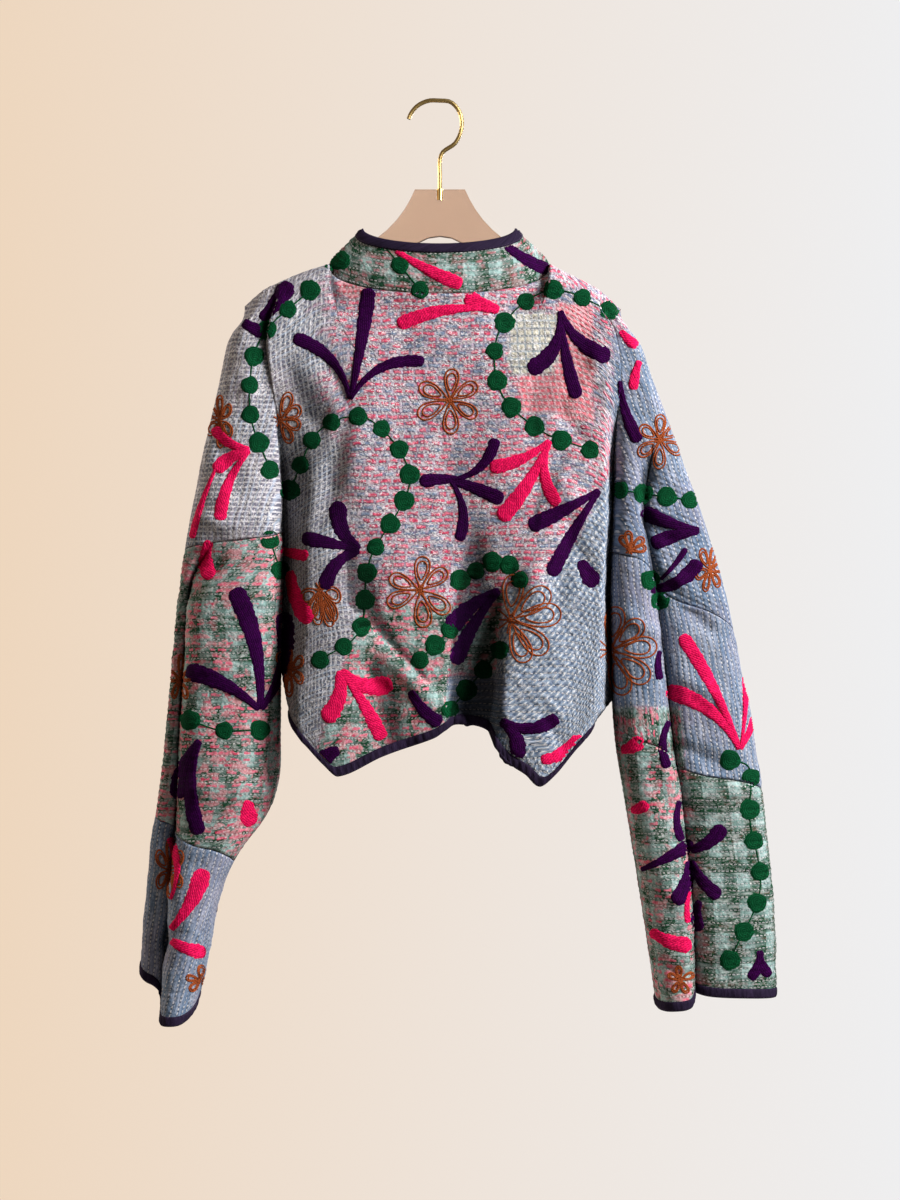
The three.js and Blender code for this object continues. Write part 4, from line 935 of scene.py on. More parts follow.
def panel(name, side, half, slot, patches):
    lobe, across = np.linspace(0, 1, panels["lobe"] + 1), np.linspace(0, 1, panels["body"] + 1)
    fromEnd = np.minimum(across, 1 - across)
    across = across[(fromEnd < neckCut["share"] + 0.001) | (fromEnd > neckCut["share"] + 0.035)]
    if side < 0:
        columns = np.concatenate([lobe[:-1], 1 + across, 2 + lobe[1:]])
    elif half < 0:
        columns = np.concatenate([lobe[:-1], 1 + across[across <= 0.5]])[::-1]
    else:
        columns = np.concatenate([1 + across[across >= 0.5], 2 + lobe[1:]])[::-1]
    inSleeve = (columns < 1) | (columns > 2)
    s = np.clip(columns - 1, 0, 1)
    top = topEdge(side, columns)[2]
    middle = upperEnd(side, columns)
    low = read(hem[side], "s", "z", s) + cut["bindingWidth"] - cut["tucked"]
    upper = mix(top, middle, overShoulder(panels["upperRows"] + 1)[:, None])
    lower = mix(middle, low, np.linspace(0, 1, panels["lowerRows"] + 1)[1:, None])
    z = np.concatenate([upper, lower])
    # sleeves and body are worked out apart, so that the seam between them stays sharp
    points = cloth(side, columns, z, half)
    points[:, inSleeve] = cloth(side, np.clip(columns, 0, 3)[inSleeve], z[:, inSleeve], half)
    keep = np.ones((len(z) - 1, len(columns) - 1), bool)
    sleeveCell = inSleeve[:-1] | inSleeve[1:]
    keep[panels["upperRows"]:, sleeveCell] = False

    middleAt = int(np.argmin(np.abs(columns - 1.5)))
    dip = smooth((1.25 - columns) / 0.25) ** 1.5 + smooth((columns - 1.75) / 0.25) ** 1.5
    bodyU, bodyW = runAcross(points, middleAt), -z - panels["rowDip"] * dip
    outerL, outerR = read(leftSleeve, "z", "out", z), read(rightSleeve, "z", "out", z)
    inward = np.where(columns < 1.5, points[..., 0] - outerL, outerR - points[..., 0])
    sleeveW = inward * 0.96 + 0.35 * np.abs(points[..., 1])
    bodyCorners, sleeveCorners = cornersOf(bodyU, bodyW), cornersOf(-z, sleeveW)
    columnMiddle = (columns[:-1] + columns[1:]) / 2
    asSleeve = (columnMiddle < 1 - panels["overlap"]) | (columnMiddle > 2 + panels["overlap"])
    corners = np.where(asSleeve[None, :, None, None], sleeveCorners, bodyCorners)
    w = np.where((columns < 1 - panels["overlap"]) | (columns > 2 + panels["overlap"]), sleeveW, bodyW)
    outer = surfaced(points, w, 11 + side + half)
    piece, used = gridMesh("cloth_" + name, outer, corners, keep)
    masks = patches(points)
    # painted shade: the back's colour is darkened in its folds, beside the left sleeve and in the recess
    # between the flares
    inFold = (columns > 1) * between(valley["shadingFrom"], valley["shadingTo"], z) * (side < 0)
    shadeBesideSleeve = valley["shading"] * smooth((1.30 - columns) / 0.26) * inFold
    masks["hollow"] = np.maximum(foldShade(points), np.maximum(shadeBesideSleeve, masks.get("hollow", 0)))
    addMasks(piece, masks, used)
    finishPiece(piece, slot, name, cut["clothWall"])
    return piece


def frontPatches(points):
    x, y = onChart(points)
    ragged = 6 * unevenness(points, 14, 31)
    at = frontPlaces
    dash = edge(y - at["dashTop"] + 2 * ragged, 14) * edge(at["dashEnd"] - y)
    dash = dash * edge(sideOf(x, y, frontDashLine), 10)
    green = edge(y - at["greenTop"] + 0.3 * (x - at["greenLean"])) * edge(x - at["greenLeft"])
    waffle = edge(at["waffleRight"] - x) * edge(y - at["waffleTop"])
    return {
        "dash": dash * (1 - waffle),
        "green": green * (1 - waffle),
        "waffle": waffle,
        "ivory": box(x + ragged, y + ragged, at["ivory"]),
        "salmon": box(x + ragged, y + ragged, at["salmon"]),
        "indigo": onSleeve(x, y),
    }


back = panel("back", -1, 0, "quilt_back", backPatches)
frontLeft = panel("front_left", 1, -1, "quilt_front", frontPatches)
frontRight = panel("front_right", 1, 1, "quilt_front", frontPatches)
print("back and fronts made")

sleeves = {"near": 54, "far": 42, "rowHeight": 2.4, "underSeam": 0.9}


def sleeveColumns(isLeft):
    near, far = np.linspace(0, 1, sleeves["near"] + 1), np.linspace(0, 1, sleeves["far"] + 1)
    t = np.concatenate([far[::-1], near[1:]]) if isLeft else np.concatenate([near[::-1], far[1:]])
    sides = np.concatenate([np.full(len(far), 1), np.full(len(near) - 1, -1)]) if isLeft \
        else np.concatenate([np.full(len(near), -1), np.full(len(far) - 1, 1)])
    return sides, t


def seamRound(name, sides, t):
    return np.where(sides < 0, seamHeight(name, -1, t), seamHeight(name, 1, t))


def sleevePoints(isLeft, sides, t, z):
    c = np.minimum(t, 1 - 1e-9)
    c = c if isLeft else 3 - c
    points = np.where((sides < 0)[None, :, None], cloth(-1, c, z), cloth(1, c, z))
    points[:, t == 0, 1] = 0
    return points


def sleevePiece(name, isLeft, start, end, slot, patches, rowsRound=False):
    sides, t = sleeveColumns(isLeft)
    top = seamRound(start, sides, t) - sleeves["underSeam"]
    low = seamRound(end, sides, t) + (cut["bindingWidth"] - cut["tucked"] if end.endswith("Cuff") else 0)
    rows = int(np.max(top - low) / sleeves["rowHeight"]) + 1
    z = mix(top, low, np.linspace(0, 1, rows)[:, None])
    points = sleevePoints(isLeft, sides, t, z)
    overarm = int(np.argmin(t + (sides > 0) * 0.001))
    w = runAcross(points, overarm)
    u, w = (w, -z + 0 * w) if rowsRound else (-z + 0 * w, w)
    outer = surfaced(points, w, 40 + len(name))
    piece, used = gridMesh("cloth_" + name, outer, cornersOf(u, w))
    # painted shade on the inner side of the sleeve next to the body, and in its folds
    shadeByBody = 0.8 * smooth((t - 0.86) / 0.12) * between(-720, -640, z)
    addMasks(piece, {**patches(points), "hollow": np.maximum(foldShade(points), shadeByBody)}, used)
    finishPiece(piece, slot, name, cut["clothWall"])
    return piece


def rightUpperPatches(points):
    x, y = onChart(points)
    innerHalf = edge(-sideOf(x, y, sleeveLine))
    green = innerHalf * edge(y - elbow, 2)
    return {"indigo": 1 - green, "green": green, "waffle": 0.35 * innerHalf * edge(elbow - y, 10)}


def rightLowerPatches(points):
    x, y = onChart(points)
    outerHalf = edge(sideOf(x, y, lowSleeveLine), 8)
    return {"green": np.ones(x.shape), "calm": 0.1 + 0.9 * outerHalf}


leftUpper = sleevePiece("sleeve_left_upper", True, "leftUpper", "leftLower", "quilt_plaid",
                        lambda p: plain(p, green=1), rowsRound=True)
leftLower = sleevePiece("sleeve_left_lower", True, "leftLower", "leftCuff", "quilt_indigo",
                        lambda p: plain(p, indigo=1))
rightUpper = sleevePiece("sleeve_right_upper", False, "rightUpper", "rightLower", "quilt_indigo",
                         rightUpperPatches)
rightLower = sleevePiece("sleeve_right_lower", False, "rightLower", "rightCuff", "quilt_plaid",
                         rightLowerPatches, rowsRound=True)
print("sleeves made")


# Collar and bindings
columnsOf = {"collarFar": 31, "collarNear": 71, "collarRows": 20, "hemFar": 81, "hemNear": 261,
             "frontNeck": 24, "frontDown": 200}


def neckColumns():
    share, inner = neckCut["share"], 1 - 2 * neckCut["share"]
    far, near = np.linspace(0, 1, columnsOf["collarFar"]), np.linspace(0, 1, columnsOf["collarNear"])
    left = [(1, -1, share + v / 2 * inner) for v in far[::-1]][:-1]
    middle = [(-1, 0, share + v * inner) for v in near]
    right = [(1, 1, share + (0.5 + v / 2) * inner) for v in far[::-1]][1:]
    return left + middle + right


def collarGrid(heights):
    columns = [[collarPoint(side, half, np.array(s), v) for v in heights] for side, half, s in neckColumns()]
    return np.stack([np.array(column) for column in columns], axis=1)


binding = {"steps": 7, "bulge": 0.9, "proud": 0.7, "pucker": 0.5, "uneven": 0.25, "flat": 0.02,
           "flatShare": 0.6}


def boundHeights():
    # the rows of a binding, in mm above its lower edge
    return cut["bindingWidth"] * (1 - np.linspace(0, 1, binding["steps"])[:, None])


def closedStrip(name, points):
    # a folded strip: the outer face is rounded across, and the wall is as thick as the folded cotton
    u = runAcross(points, 0)
    v = np.linspace(0, cut["bindingWidth"], len(points))[:, None] + 0 * u
    dome = np.sqrt(np.maximum(0, 1 - (2 * v / cut["bindingWidth"] - 1) ** 2))
    gathers = np.sin(u / 1.25 + 2 * np.sin(u / 17)) * dome
    puckers = binding["pucker"] * gathers + binding["uneven"] * unevenness(points, 9, 77)
    outer = points + outward(points) * (binding["proud"] + binding["bulge"] * dome + puckers)[..., None]
    piece, used = gridMesh("cloth_" + name, outer, cornersOf(u, v))
    finishPiece(piece, "binding", name, cut["bindingWall"])
    return piece


collarHeight = 52
collarBound = cut["bindingWidth"] / collarHeight
collarRows = np.linspace(collarBound - cut["tucked"] / collarHeight, 1, columnsOf["collarRows"])
collarPoints = collarGrid(collarRows)
collarU = runAcross(collarPoints, collarPoints.shape[1] // 2)
collarW = (collarRows * collarHeight)[:, None] + 0 * collarU
collarFace = surfaced(collarPoints, collarW, 90, creased=False)
collar, used = gridMesh("cloth_collar", collarFace, cornersOf(collarU, collarW))
addMasks(collar, plain(collarPoints, green=1, calm=0.6), used)
finishPiece(collar, "quilt_plaid", "collar", cut["clothWall"])
bindings = [closedStrip("binding_collar", collarGrid(np.linspace(0, collarBound, binding["steps"])))]


def hemPoints():
    near, far = np.linspace(0, 1, columnsOf["hemNear"]), np.linspace(0, 1, columnsOf["hemFar"])
    parts = [(1, -1, far[1:][::-1] / 2), (-1, 0, near), (1, 1, 0.5 + far[:-1][::-1] / 2)]
    strips = []
    for side, half, s in parts:
        strips.append(cloth(side, 1 + s, read(hem[side], "s", "z", s) + boundHeights(), half))
    return np.concatenate(strips, axis=1)


bindings.append(closedStrip("binding_hem", hemPoints()))


def cuffPoints(isLeft, seam):
    sides, t = sleeveColumns(isLeft)
    return sleevePoints(isLeft, sides, t, seamRound(seam, sides, t) + boundHeights())


bindings.append(closedStrip("binding_cuff_left", cuffPoints(True, "leftCuff")))
bindings.append(closedStrip("binding_cuff_right", cuffPoints(False, "rightCuff")))


def frontEdge(half):
    down = np.linspace(0, 1, columnsOf["frontNeck"])
    neck = np.array([collarPoint(1, half, np.array(0.5), v) for v in down])
    top = float(topEdge(1, np.array(1.5))[2])
    z = np.linspace(top, float(read(hem[1], "s", "z", 0.5)), columnsOf["frontDown"])[1:]
    return np.concatenate([neck, cloth(1, np.full(len(z), 1.5), z, half)])


for name, half in (("binding_front_left", -1), ("binding_front_right", 1)):
    line = frontEdge(half)
    steps = np.linspace(0, 1, binding["steps"])[::-half]
    offsets = -half * (cut["seamGap"] + steps * cut["bindingWidth"])
    grid = line[None, :, :] + np.stack([offsets, 0 * offsets, 0 * offsets], axis=-1)[:, None, :]
    bindings.append(closedStrip(name, grid))
print("collar and bindings made")

# Embroidery
stitching = {"high": 1.25, "sunk": 0.5, "lineWide": 2.3, "dot": 10.5, "step": 2.2, "jump": 2.6}
underneath = [back, frontLeft, frontRight, leftUpper, leftLower, rightUpper, rightLower, collar, *bindings]
bpy.context.view_layer.update()


def treeOf(pieces):
    points, faces, owners, shades = [], [], [], []
    for owner, piece in enumerate(pieces):
        start = len(points)
        points += [v.co for v in piece.data.vertices]
        faces += [[start + i for i in p.vertices] for p in piece.data.polygons]
        owners += [owner] * len(piece.data.polygons)
        shade = np.zeros(len(piece.data.vertices), np.float32)
        if "hollow" in piece.data.attributes:
            piece.data.attributes["hollow"].data.foreach_get("value", shade)
        shades += [float(shade[p.vertices[0]]) for p in piece.data.polygons]
    return BVHTree.FromPolygons(points, faces), owners, shades


surface, owners, shades = treeOf(underneath)
firstBinding = len(underneath) - len(bindings)
collected = {name: {"points": [], "faces": [], "uv": [], "hollow": []} for name in yarns}


def drape(x, y, facing):
    # the cloth under a place on the chart: point, normal and shade, or None off the cloth
    eye = Vector((chart["worldX"], facing * chart["away"], chart["worldZ"])) * mm
    aim = Vector((chart["worldX"] + (x - chart["centreX"]) * chart["unit"], 0,
                  chart["worldZ"] - (y - chart["centreY"]) * chart["unit"])) * mm
    hit, normal, face, _ = surface.ray_cast(eye, (aim - eye).normalized())
    if hit is None or owners[face] >= firstBinding:
        return None
    return hit, normal, shades[face]


def stitchPatch(yarn, xs, ys, us, vs, highs, facing, wrap=False):
    # lays a small grid of stitches on the cloth, and leaves out cells that would cross a deep fold
    rows, columns = xs.shape
    store = collected[yarn]
    made, shaded = {}, {}
    for i in range(rows):
        for j in range(columns):
            found = drape(xs[i, j], ys[i, j], facing)
            if found is not None:
                made[i, j] = found[0] + found[1] * (highs[i, j] * mm)
                shaded[i, j] = found[2]
    last = columns if wrap else columns - 1
    for i in range(rows - 1):
        for j in range(last):
            k = (j + 1) % columns
            ring = [(i, j), (i + 1, j), (i + 1, k), (i, k)]
            if any(key not in made for key in ring):
                continue
            spots = [made[key] for key in ring]
            sides = list(zip(ring, ring[1:] + ring[:1]))
            planned = max(math.hypot(xs[a] - xs[b], ys[a] - ys[b]) for a, b in sides)
            longest = max((made[a] - made[b]).length for a, b in sides)
            if longest > stitching["jump"] * (planned + 2.5) * mm:
                continue
            start = len(store["points"])
            store["points"] += spots
            store["hollow"] += [shaded[key] for key in ring]
            face = list(range(start, start + 4))
            mapped = [(us[key] * mm, vs[key] * mm) for key in ring]
            normal = (spots[1] - spots[0]).cross(spots[3] - spots[0])
            if normal.y * facing < 0:
                face, mapped = face[::-1], mapped[::-1]
            store["faces"].append(face)
            store["uv"].append(mapped)


def leaf(yarn, x0, y0, x1, y1, wide, bend, base, facing):
    # a blunt leaf: bend moves its middle sideways, and base is its foot's share of the width
    length = math.hypot(x1 - x0, y1 - y0)
    rows, columns = max(6, int(length * (1 + abs(bend) / length) / stitching["step"])), 9
    nx, ny = -(y1 - y0) / length, (x1 - x0) / length
    cx, cy = (x0 + x1) / 2 + 2 * bend * nx, (y0 + y1) / 2 + 2 * bend * ny
    t = np.linspace(0, 1, rows + 1)
    sx = (1 - t) ** 2 * x0 + 2 * t * (1 - t) * cx + t**2 * x1
    sy = (1 - t) ** 2 * y0 + 2 * t * (1 - t) * cy + t**2 * y1
    dx, dy = np.gradient(sx), np.gradient(sy)
    size = np.maximum(1e-6, np.hypot(dx, dy))
    run = np.concatenate([[0], np.cumsum(np.hypot(np.diff(sx), np.diff(sy)))])
    half = wide / 2 * mix(base, 1.0, smooth(t * 1.15))
    left = run[-1] - run
    roundEnd = np.sqrt(np.clip(1 - (1 - np.minimum(1, (left + 0.2) / (wide * 0.5))) ** 2, 0.02, 1))
    roundFoot = np.sqrt(np.clip(1 - (1 - np.minimum(1, (run + 0.8) / (wide * base * 0.6))) ** 2, 0.05, 1))
    half = half * roundEnd * roundFoot
    wavy = 1 + 0.05 * np.sin(run * 0.9 + x0) + 0.04 * np.sin(run * 0.37 + y0)
    v = np.linspace(-1, 1, columns)
    xs = sx[:, None] - (dy / size * half * wavy)[:, None] * v
    ys = sy[:, None] + (dx / size * half * wavy)[:, None] * v
    rise = np.minimum(1, np.minimum(run, left) / 2.5)[:, None]
    dome = stitching["high"] * (1 - np.abs(v) ** 4)[None, :] * rise
    highs = np.where((np.abs(v)[None, :] > 0.99) | (dome < 0.05), -stitching["sunk"], dome)
    stitchPatch(yarn, xs, ys, run[:, None] + 0 * xs, (half[:, None] * v) + 40, highs, facing)


def dot(yarn, x, y, radius, facing):
    rings, spokes = 5, 20
    share = np.linspace(0.02, 1, rings + 1)[:, None]
    angle = np.linspace(0, 2 * math.pi, spokes, endpoint=False)[None, :]
    uneven = 1 + 0.04 * np.sin(3 * angle + x) + 0.03 * np.sin(5 * angle + y)
    xs, ys = x + radius * share * uneven * np.cos(angle), y + radius * share * uneven * np.sin(angle)
    dome = stitching["high"] * (1.05 - 0.8 * share**4)
    highs = np.where(share > 0.99, -stitching["sunk"], dome) + 0 * angle
    us, vs = radius * share * angle + 0 * xs, radius * share + 0 * angle
    stitchPatch(yarn, xs, ys, us, vs, highs, facing, wrap=True)


def stitchLine(yarn, xs, ys, wide, facing, closed=False):
    # one row of chain stitch along a line
    xs, ys = np.asarray(xs, float), np.asarray(ys, float)
    dx, dy = np.gradient(xs), np.gradient(ys)
    if closed:
        dx, dy = (np.roll(a, -1) - np.roll(a, 1) for a in (xs[:-1], ys[:-1]))
        dx, dy = np.append(dx, dx[0]), np.append(dy, dy[0])
    size = np.maximum(1e-6, np.hypot(dx, dy))
    run = np.concatenate([[0], np.cumsum(np.hypot(np.diff(xs), np.diff(ys)))])
    v = np.array([-1, -0.5, 0, 0.5, 1])
    px = xs[:, None] - (dy / size)[:, None] * v * wide / 2
    py = ys[:, None] + (dx / size)[:, None] * v * wide / 2
    highs = np.array([-stitching["sunk"], 0.6, 0.9, 0.6, -stitching["sunk"]])[None, :] + 0 * px
    stitchPatch(yarn, px, py, run[:, None] + 0 * px, v + 1.1 + 0 * px, highs, facing)


def along(points, perUnit=0.5):
    # a smooth line through a few places
    p = np.array(points, float)
    if len(p) == 2:
        p = np.insert(p, 1, p.mean(axis=0), axis=0)
    ghost = np.vstack([2 * p[0] - p[1], p, 2 * p[-1] - p[-2]])
    out = []
    for a, b, c, d in zip(ghost, ghost[1:], ghost[2:], ghost[3:]):
        n = max(3, int(np.linalg.norm(c - b) * perUnit))
        for t in np.linspace(0, 1, n, endpoint=False):
            out.append(0.5 * (2 * b + (c - a) * t + (2 * a - 5 * b + 4 * c - d) * t**2
                              + (3 * b - a - 3 * c + d) * t**3))
    out.append(p[-1])
    return np.array(out)


def beadChain(places, pitch, facing):
    # beads evenly spaced along a smooth line
    line = along(places)
    run = np.concatenate([[0], np.cumsum(np.linalg.norm(np.diff(line, axis=0), axis=1))])
    stitchLine("green", line[:, 0], line[:, 1], 2.0, facing)
    for at in np.linspace(0, run[-1], max(2, round(run[-1] / pitch) + 1)):
        x, y = np.interp(at, run, line[:, 0]), np.interp(at, run, line[:, 1])
        dot("green", x, y, stitching["dot"] + 0.9 * math.sin(x), facing)


def sprig(yarn, x, y, heading, long, wide, spread=0, leaves=1, share=1.0, facing=-1):
    # leaves that part from one foot; the heading is in degrees, 0 to the right and 90 upwards
    for k in range(leaves):
        aside = k - (leaves - 1) / 2
        angle = math.radians(heading + spread * aside + 3 * math.sin(x + 2 * k))
        leading = k == (leaves // 2 if leaves % 2 else 0)
        reach = long * (1 if leading else share) * (1 + 0.05 * math.sin(y + 3 * k))
        curl = 0.13 * np.clip(aside * spread / 30, -1, 1) if abs(spread) > 25 else 0.08
        bow = reach * (curl + 0.05 * math.sin(0.7 * x + y + 2.4 * k))
        foot = 0.38 if reach > 60 else 0.6
        leaf(yarn, x, y, x + reach * math.cos(angle), y - reach * math.sin(angle),
             wide * (1.1 + 0.14 * math.sin(x + 4 * k)), bow, foot, facing)


def flower(x, y, radius, petals=6, start=90, squash=1.0, lean=0, span=360, facing=-1):
    # petals of two outlines each, round a dense heart
    for k in range(petals):
        angle = math.radians(start + span * k / petals + 7 * math.sin(3 * k + x))
        reach = radius * (1 + 0.07 * math.sin(5 * k + y))
        t = np.linspace(0, 1, 34)
        for grow, inset in ((1.0, 0.10), (0.66, 0.30)):
            out = (0.5 - 0.5 * np.cos(2 * math.pi * t)) ** 0.75 * (1 if grow == 1 else 0.80)
            a = reach * (inset + (1 - inset) * out)
            b = reach * 0.265 * grow * np.sin(2 * math.pi * t) * (0.55 + 0.45 * a / reach)
            px = (math.cos(angle) * a - math.sin(angle) * b) * squash
            py = -(math.sin(angle) * a + math.cos(angle) * b)
            stitchLine("rust", x + px + lean * py, y + py, stitching["lineWide"], facing, closed=True)
    for k in range(9):
        angle = math.radians(start + 40 * k + 13)
        r = radius * (0.26 + 0.05 * math.sin(4 * k))
        stitchLine("rust", x + squash * math.cos(angle) * np.linspace(0.5, r, 6),
                   y - math.sin(angle) * np.linspace(0.5, r, 6), 2.4, facing)


# The arrangement, on the chart: where each motif stands, to about a centimetre, and its size. The share
# is the length of the side leaves against the leading leaf.
sprigNames = "yarn x y heading long wide spread leaves share"
backSprigs = [
    ("purple", 350, 400, 80, 110, 14, 50, 3, 0.8), ("pink", 500, 310, 175, 100, 15, -30, 2, 0.4),
    ("purple", 260, 320, 50, 50, 17), ("purple", 240, 320, 330, 30, 13),
    ("purple", 360, 550, 170, 60, 16, 60, 3, 0.9), ("pink", 340, 670, 300, 80, 17, 50, 3, 0.7),
    ("purple", 410, 690, 310, 50, 13), ("purple", 340, 750, 220, 30, 18),
    ("purple", 450, 480, 340, 60, 13, 60, 3, 1.0), ("purple", 460, 480, 180, 40, 12),
    ("purple", 560, 310, 280, 95, 16, 40, 3, 0.7), ("pink", 550, 440, 240, 95, 15, 35, 3, 0.7),
    ("purple", 600, 490, 225, 100, 15, -30, 2, 0.8), ("purple", 580, 560, 300, 30, 17),
    ("purple", 500, 590, 230, 90, 17, -20, 2, 0.7), ("purple", 500, 720, 330, 60, 15, -70, 2, 0.7),
    ("pink", 540, 760, 30, 50, 18), ("pink", 280, 550, 350, 30, 13), ("pink", 290, 570, 290, 60, 16),
    ("pink", 250, 450, 250, 80, 15), ("pink", 250, 450, 180, 45, 14, 60, 2, 0.9),
    ("pink", 220, 460, 250, 80, 7),
    ("pink", 210, 540, 270, 40, 15), ("purple", 260, 710, 90, 125, 18, -20, 2, 0.8),
    ("purple", 260, 710, 150, 85, 17), ("purple", 200, 740, 260, 100, 18, -25, 2, 0.6),
    ("pink", 250, 800, 280, 25, 22), ("pink", 170, 930, 60, 70, 18), ("pink", 170, 900, 90, 60, 8),
    ("pink", 170, 940, 340, 40, 14), ("pink", 620, 330, 320, 25, 13), ("pink", 640, 360, 260, 30, 12),
    ("purple", 620, 380, 290, 65, 15), ("purple", 700, 530, 180, 60, 15, 40, 2, 0.9),
    ("purple", 650, 590, 30, 60, 15), ("purple", 660, 580, 50, 40, 6),
    ("pink", 740, 750, 130, 125, 16, 20, 2, 0.8), ("pink", 740, 750, 90, 85, 8),
    ("pink", 740, 750, 70, 40, 9),
    ("purple", 660, 650, 270, 30, 8), ("purple", 670, 720, 270, 50, 11), ("pink", 620, 750, 30, 25, 18),
    ("pink", 630, 810, 20, 20, 12), ("purple", 640, 870, 30, 60, 15), ("purple", 690, 850, 40, 40, 18),
    ("purple", 690, 860, 280, 50, 16, -65, 2, 0.9), ("purple", 680, 800, 270, 40, 8),
    ("purple", 700, 900, 270, 30, 12), ("pink", 650, 930, 340, 45, 16), ("pink", 690, 890, 270, 35, 7),
    ("purple", 760, 950, 270, 30, 12, 40, 2, 1.0), ("pink", 395, 250, 335, 80, 16),
    ("purple", 500, 240, 330, 55, 14),
]
chainNames = "pitch places"
backChains = [
    (28, [(310, 290), (260, 340), (250, 410), (270, 470)]), (30, [(270, 540), (280, 570)]),
    (28, [(290, 490), (320, 430), (370, 420), (410, 480), (370, 560), (360, 630), (320, 660)]),
    (20, [(420, 660), (450, 630)]), (20, [(460, 580), (500, 560), (520, 580)]),
    (24, [(500, 650), (450, 710)]),
    (29, [(610, 310), (550, 290), (500, 330), (500, 390), (540, 430), (590, 450)]),
    (26, [(620, 490), (690, 500)]), (25, [(650, 580), (660, 600)]),
    (30, [(190, 720), (220, 730), (260, 730)]),
    (30, [(730, 760), (750, 770), (750, 820), (760, 890), (730, 960)]),
    (8, [(330, 260), (340, 260)]), (28, [(380, 240), (420, 290)]),
]
flowerNames = "x y radius petals start squash lean span"
backFlowers = [
    (450, 400, 33), (420, 590, 35), (510, 620, 48, 5, -75, 1, 0, 195), (320, 590, 36, 6, 200, 0.6, 0.1, 170),
    (220, 420, 26, 6, 90, 0.55), (280, 420, 28, 4, -55, 0.8, 0, 160), (610, 650, 46, 5, -75, 1, 0, 195),
    (660, 440, 27, 6, 30, 0.9), (630, 550, 18, 4, 0, 0.9, 0, 180), (710, 570, 24, 6, 10, 0.6),
    (290, 670, 26, 6, 90, 0.6), (170, 870, 30, 6, 90, 0.5), (200, 980, 15, 5), (680, 980, 14, 5),
    (180, 680, 24, 5, 90, 0.5),
]
frontSprigs = [
    ("purple", 560, 420, 95, 80, 15, 42, 3, 0.95), ("pink", 520, 520, 0, 75, 15, 48, 3, 0.9),
    ("purple", 560, 690, 105, 75, 16, 45, 2, 0.9), ("pink", 330, 420, 75, 85, 15, -45, 2, 0.95),
    ("purple", 390, 560, 135, 90, 15, 50, 3, 0.85), ("pink", 350, 700, 80, 75, 15, -50, 2, 0.9),
    ("purple", 250, 420, 110, 75, 15), ("pink", 240, 540, 105, 75, 15), ("purple", 240, 680, 110, 85, 18),
    ("pink", 230, 800, 110, 85, 17), ("purple", 210, 920, 105, 70, 15), ("pink", 650, 430, 105, 75, 15),
    ("purple", 690, 560, 105, 75, 15, 40, 2, 0.85), ("pink", 720, 700, 110, 85, 16, 45, 2, 0.9),
    ("purple", 730, 860, 120, 80, 17), ("pink", 740, 950, 130, 60, 15),
]
frontChains = [
    (28, [(560, 300), (600, 320), (610, 360)]), (28, [(300, 360), (280, 400), (300, 440)]),
    (30, [(480, 640), (500, 590), (480, 530), (490, 480), (540, 450)]),
    (26, [(400, 610), (360, 620), (330, 600)]),
    (24, [(240, 560), (210, 590)]), (30, [(260, 740), (200, 740)]), (26, [(700, 590), (650, 600)]),
    (28, [(750, 740), (710, 750), (670, 740)]), (28, [(380, 250), (420, 290)]),
]
frontFlowers = [
    (540, 390, 32), (360, 460, 32), (560, 580, 34), (340, 540, 28), (230, 640, 26, 6, 90, 0.8),
    (200, 870, 24, 6, 90, 0.8), (680, 420, 26, 6, 90, 0.8), (710, 640, 28, 6, 90, 0.8),
    (720, 820, 28, 6, 90, 0.8),
]


def embroider(sprigs, chains, flowers, facing):
    for row in sprigs:
        sprig(**dict(zip(sprigNames.split(), row)), facing=facing)
    for row in chains:
        beadChain(**dict(zip(chainNames.split(), row)), facing=facing)
    for row in flowers:
        flower(**dict(zip(flowerNames.split(), row)), facing=facing)


embroider(backSprigs, backChains, backFlowers, -1)
embroider(frontSprigs, frontChains, frontFlowers, 1)


def buildYarn(name):
    store = collected[name]
    mesh = bpy.data.meshes.new("embroidery_" + name)
    mesh.from_pydata([tuple(p) for p in store["points"]], [], store["faces"])
    layer = mesh.uv_layers.new(name="rows")
    layer.data.foreach_set("uv", np.array(store["uv"], np.float32).reshape(-1))
    shade = mesh.attributes.new("hollow", "FLOAT", "POINT")
    shade.data.foreach_set("value", np.array(store["hollow"], np.float32))
    piece = bpy.data.objects.new("embroidery_" + name, mesh)
    bpy.context.scene.collection.objects.link(piece)
    pick(piece)
    bpy.ops.object.mode_set(mode="EDIT")
    bpy.ops.mesh.select_all(action="SELECT")
    bpy.ops.mesh.remove_doubles(threshold=0.00001)
    bpy.ops.object.mode_set(mode="OBJECT")
    piece.data.shade_smooth()
    piece.data.materials.append(chainStitch(name))
    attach(piece, "root")
    return piece


embroidery = [buildYarn(name) for name in yarns]
print("embroidery made", {p.name: len(p.data.polygons) for p in embroidery})

# Hanger
for node in ("hanger_plate", "hanger_ferrule", "hanger_hook"):
    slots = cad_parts[node].data.materials
    slots.clear()
    slots.append(finishes["smoke_acrylic" if node == "hanger_plate" else "brass"])
print("hanger finished")

# Room, light and camera
room = {
    "floorZ": -1.34,
    "floorSize": 0.58,
    "floor": (0.44, 0.42, 0.39),
    "floorShade": (0.40, 0.38, 0.35),
    "warmSide": (0.85, 0.655, 0.475),   # the air to the left, and to the right
    "coolSide": (0.86, 0.86, 0.87),
    "airShown": 1.0,
    "airLight": 0.15,
}
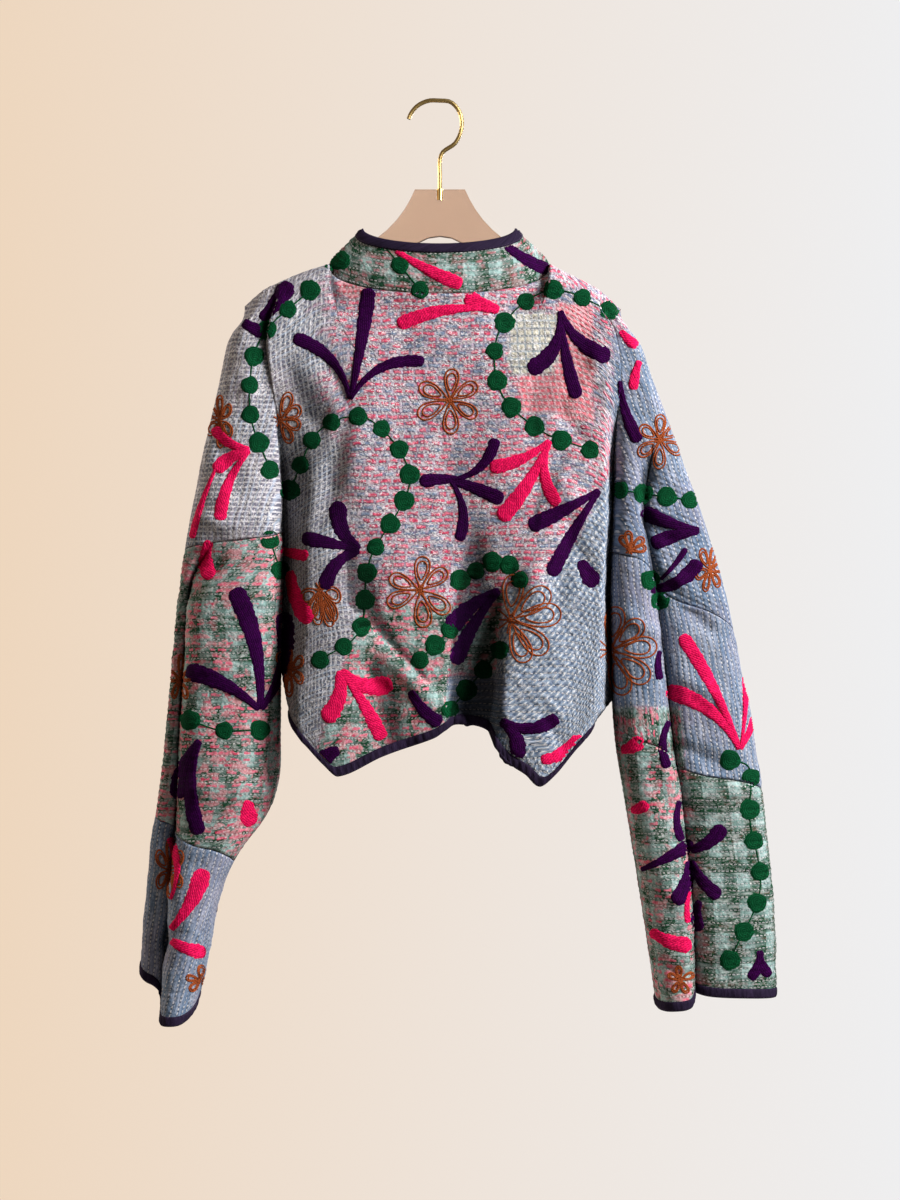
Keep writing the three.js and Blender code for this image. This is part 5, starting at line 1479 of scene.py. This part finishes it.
# name, place, aim, size, watts and colour
lights = [
    ("window", (2.1, -1.25, 0.85), (0, 0, -0.45), 0.8, 152, (1.0, 0.985, 0.97)),
    ("lamp", (-1.9, -0.9, 0.5), (0, 0, -0.5), 1.0, 5, (1.0, 0.86, 0.70)),
    ("left", (-2.2, 0.8, 0.2), (0, 0, -0.5), 1.0, 26, (1.0, 0.90, 0.78)),
    ("rear", (0.9, 2.1, 0.8), (0, 0, -0.5), 1.4, 80, (1.0, 0.97, 0.93)),
]


def addFloor():
    bpy.ops.object.select_all(action="DESELECT")
    bpy.ops.mesh.primitive_circle_add(vertices=96, radius=room["floorSize"], fill_type="NGON",
                                      location=(0, 0, room["floorZ"]))
    floor = bpy.context.object
    floor.name = "floor"
    material, shader, wire = newMaterial("pale floor")
    spot = wire.node("TexCoord", output=3)
    clouds = wire.node("TexNoise", {"Vector": spot, "Scale": 3.0, "Detail": 3.0})
    wire.plug(shader.inputs["Base Color"], colourMix(clouds, room["floor"], room["floorShade"]))
    wire.plug(shader.inputs["Roughness"], 0.85)
    floor.data.materials.append(material)


def addLight(name, place, aim, size, watts, colour):
    data = bpy.data.lights.new(name, "AREA")
    data.size, data.energy, data.color = size, watts, colour
    lamp = bpy.data.objects.new(name, data)
    lamp.location = place
    lamp.visible_transmission = False   # so that it doesn't shine straight through the plate
    lamp.rotation_euler = (Vector(aim) - Vector(place)).to_track_quat("-Z", "Y").to_euler()
    bpy.context.scene.collection.objects.link(lamp)


def addAir():
    # pale air, warmer to the left; what the camera sees of it is brighter than the light that it gives
    world = bpy.data.worlds.new("room")
    world.use_nodes = True
    bpy.context.scene.world = world
    shown = world.node_tree.nodes["Background"]
    wire = Wire(world.node_tree, None)
    fromLeft = wire.node("SeparateXYZ", {0: wire.node("TexCoord", output=0)})
    colour = colourMix((fromLeft * 2.0 + 0.55).clamped(), room["warmSide"], room["coolSide"])
    isCamera, isTransmission = (wire.node("LightPath", output=n) for n in (0, 6))
    seen = isCamera.maths("MAXIMUM", isTransmission)
    wire.plug(shown.inputs["Color"], colour)
    wire.plug(shown.inputs["Strength"], room["airLight"] + seen * (room["airShown"] - room["airLight"]))


addFloor()
for values in lights:
    addLight(*values)
addAir()
bpy.context.scene.view_settings.view_transform = "Standard"

camera = bpy.data.cameras.new("camera")
camera.sensor_fit = "HORIZONTAL"
camera.lens = camera.sensor_width * chart["away"] / (chart["wide"] * chart["unit"])
eye = bpy.data.objects.new("camera", camera)
eye.location = (chart["worldX"] * mm, -chart["away"] * mm, chart["worldZ"] * mm)
eye.rotation_euler = (math.pi / 2, 0, 0)
bpy.context.scene.collection.objects.link(eye)
bpy.context.scene.camera = eye
print("room made")
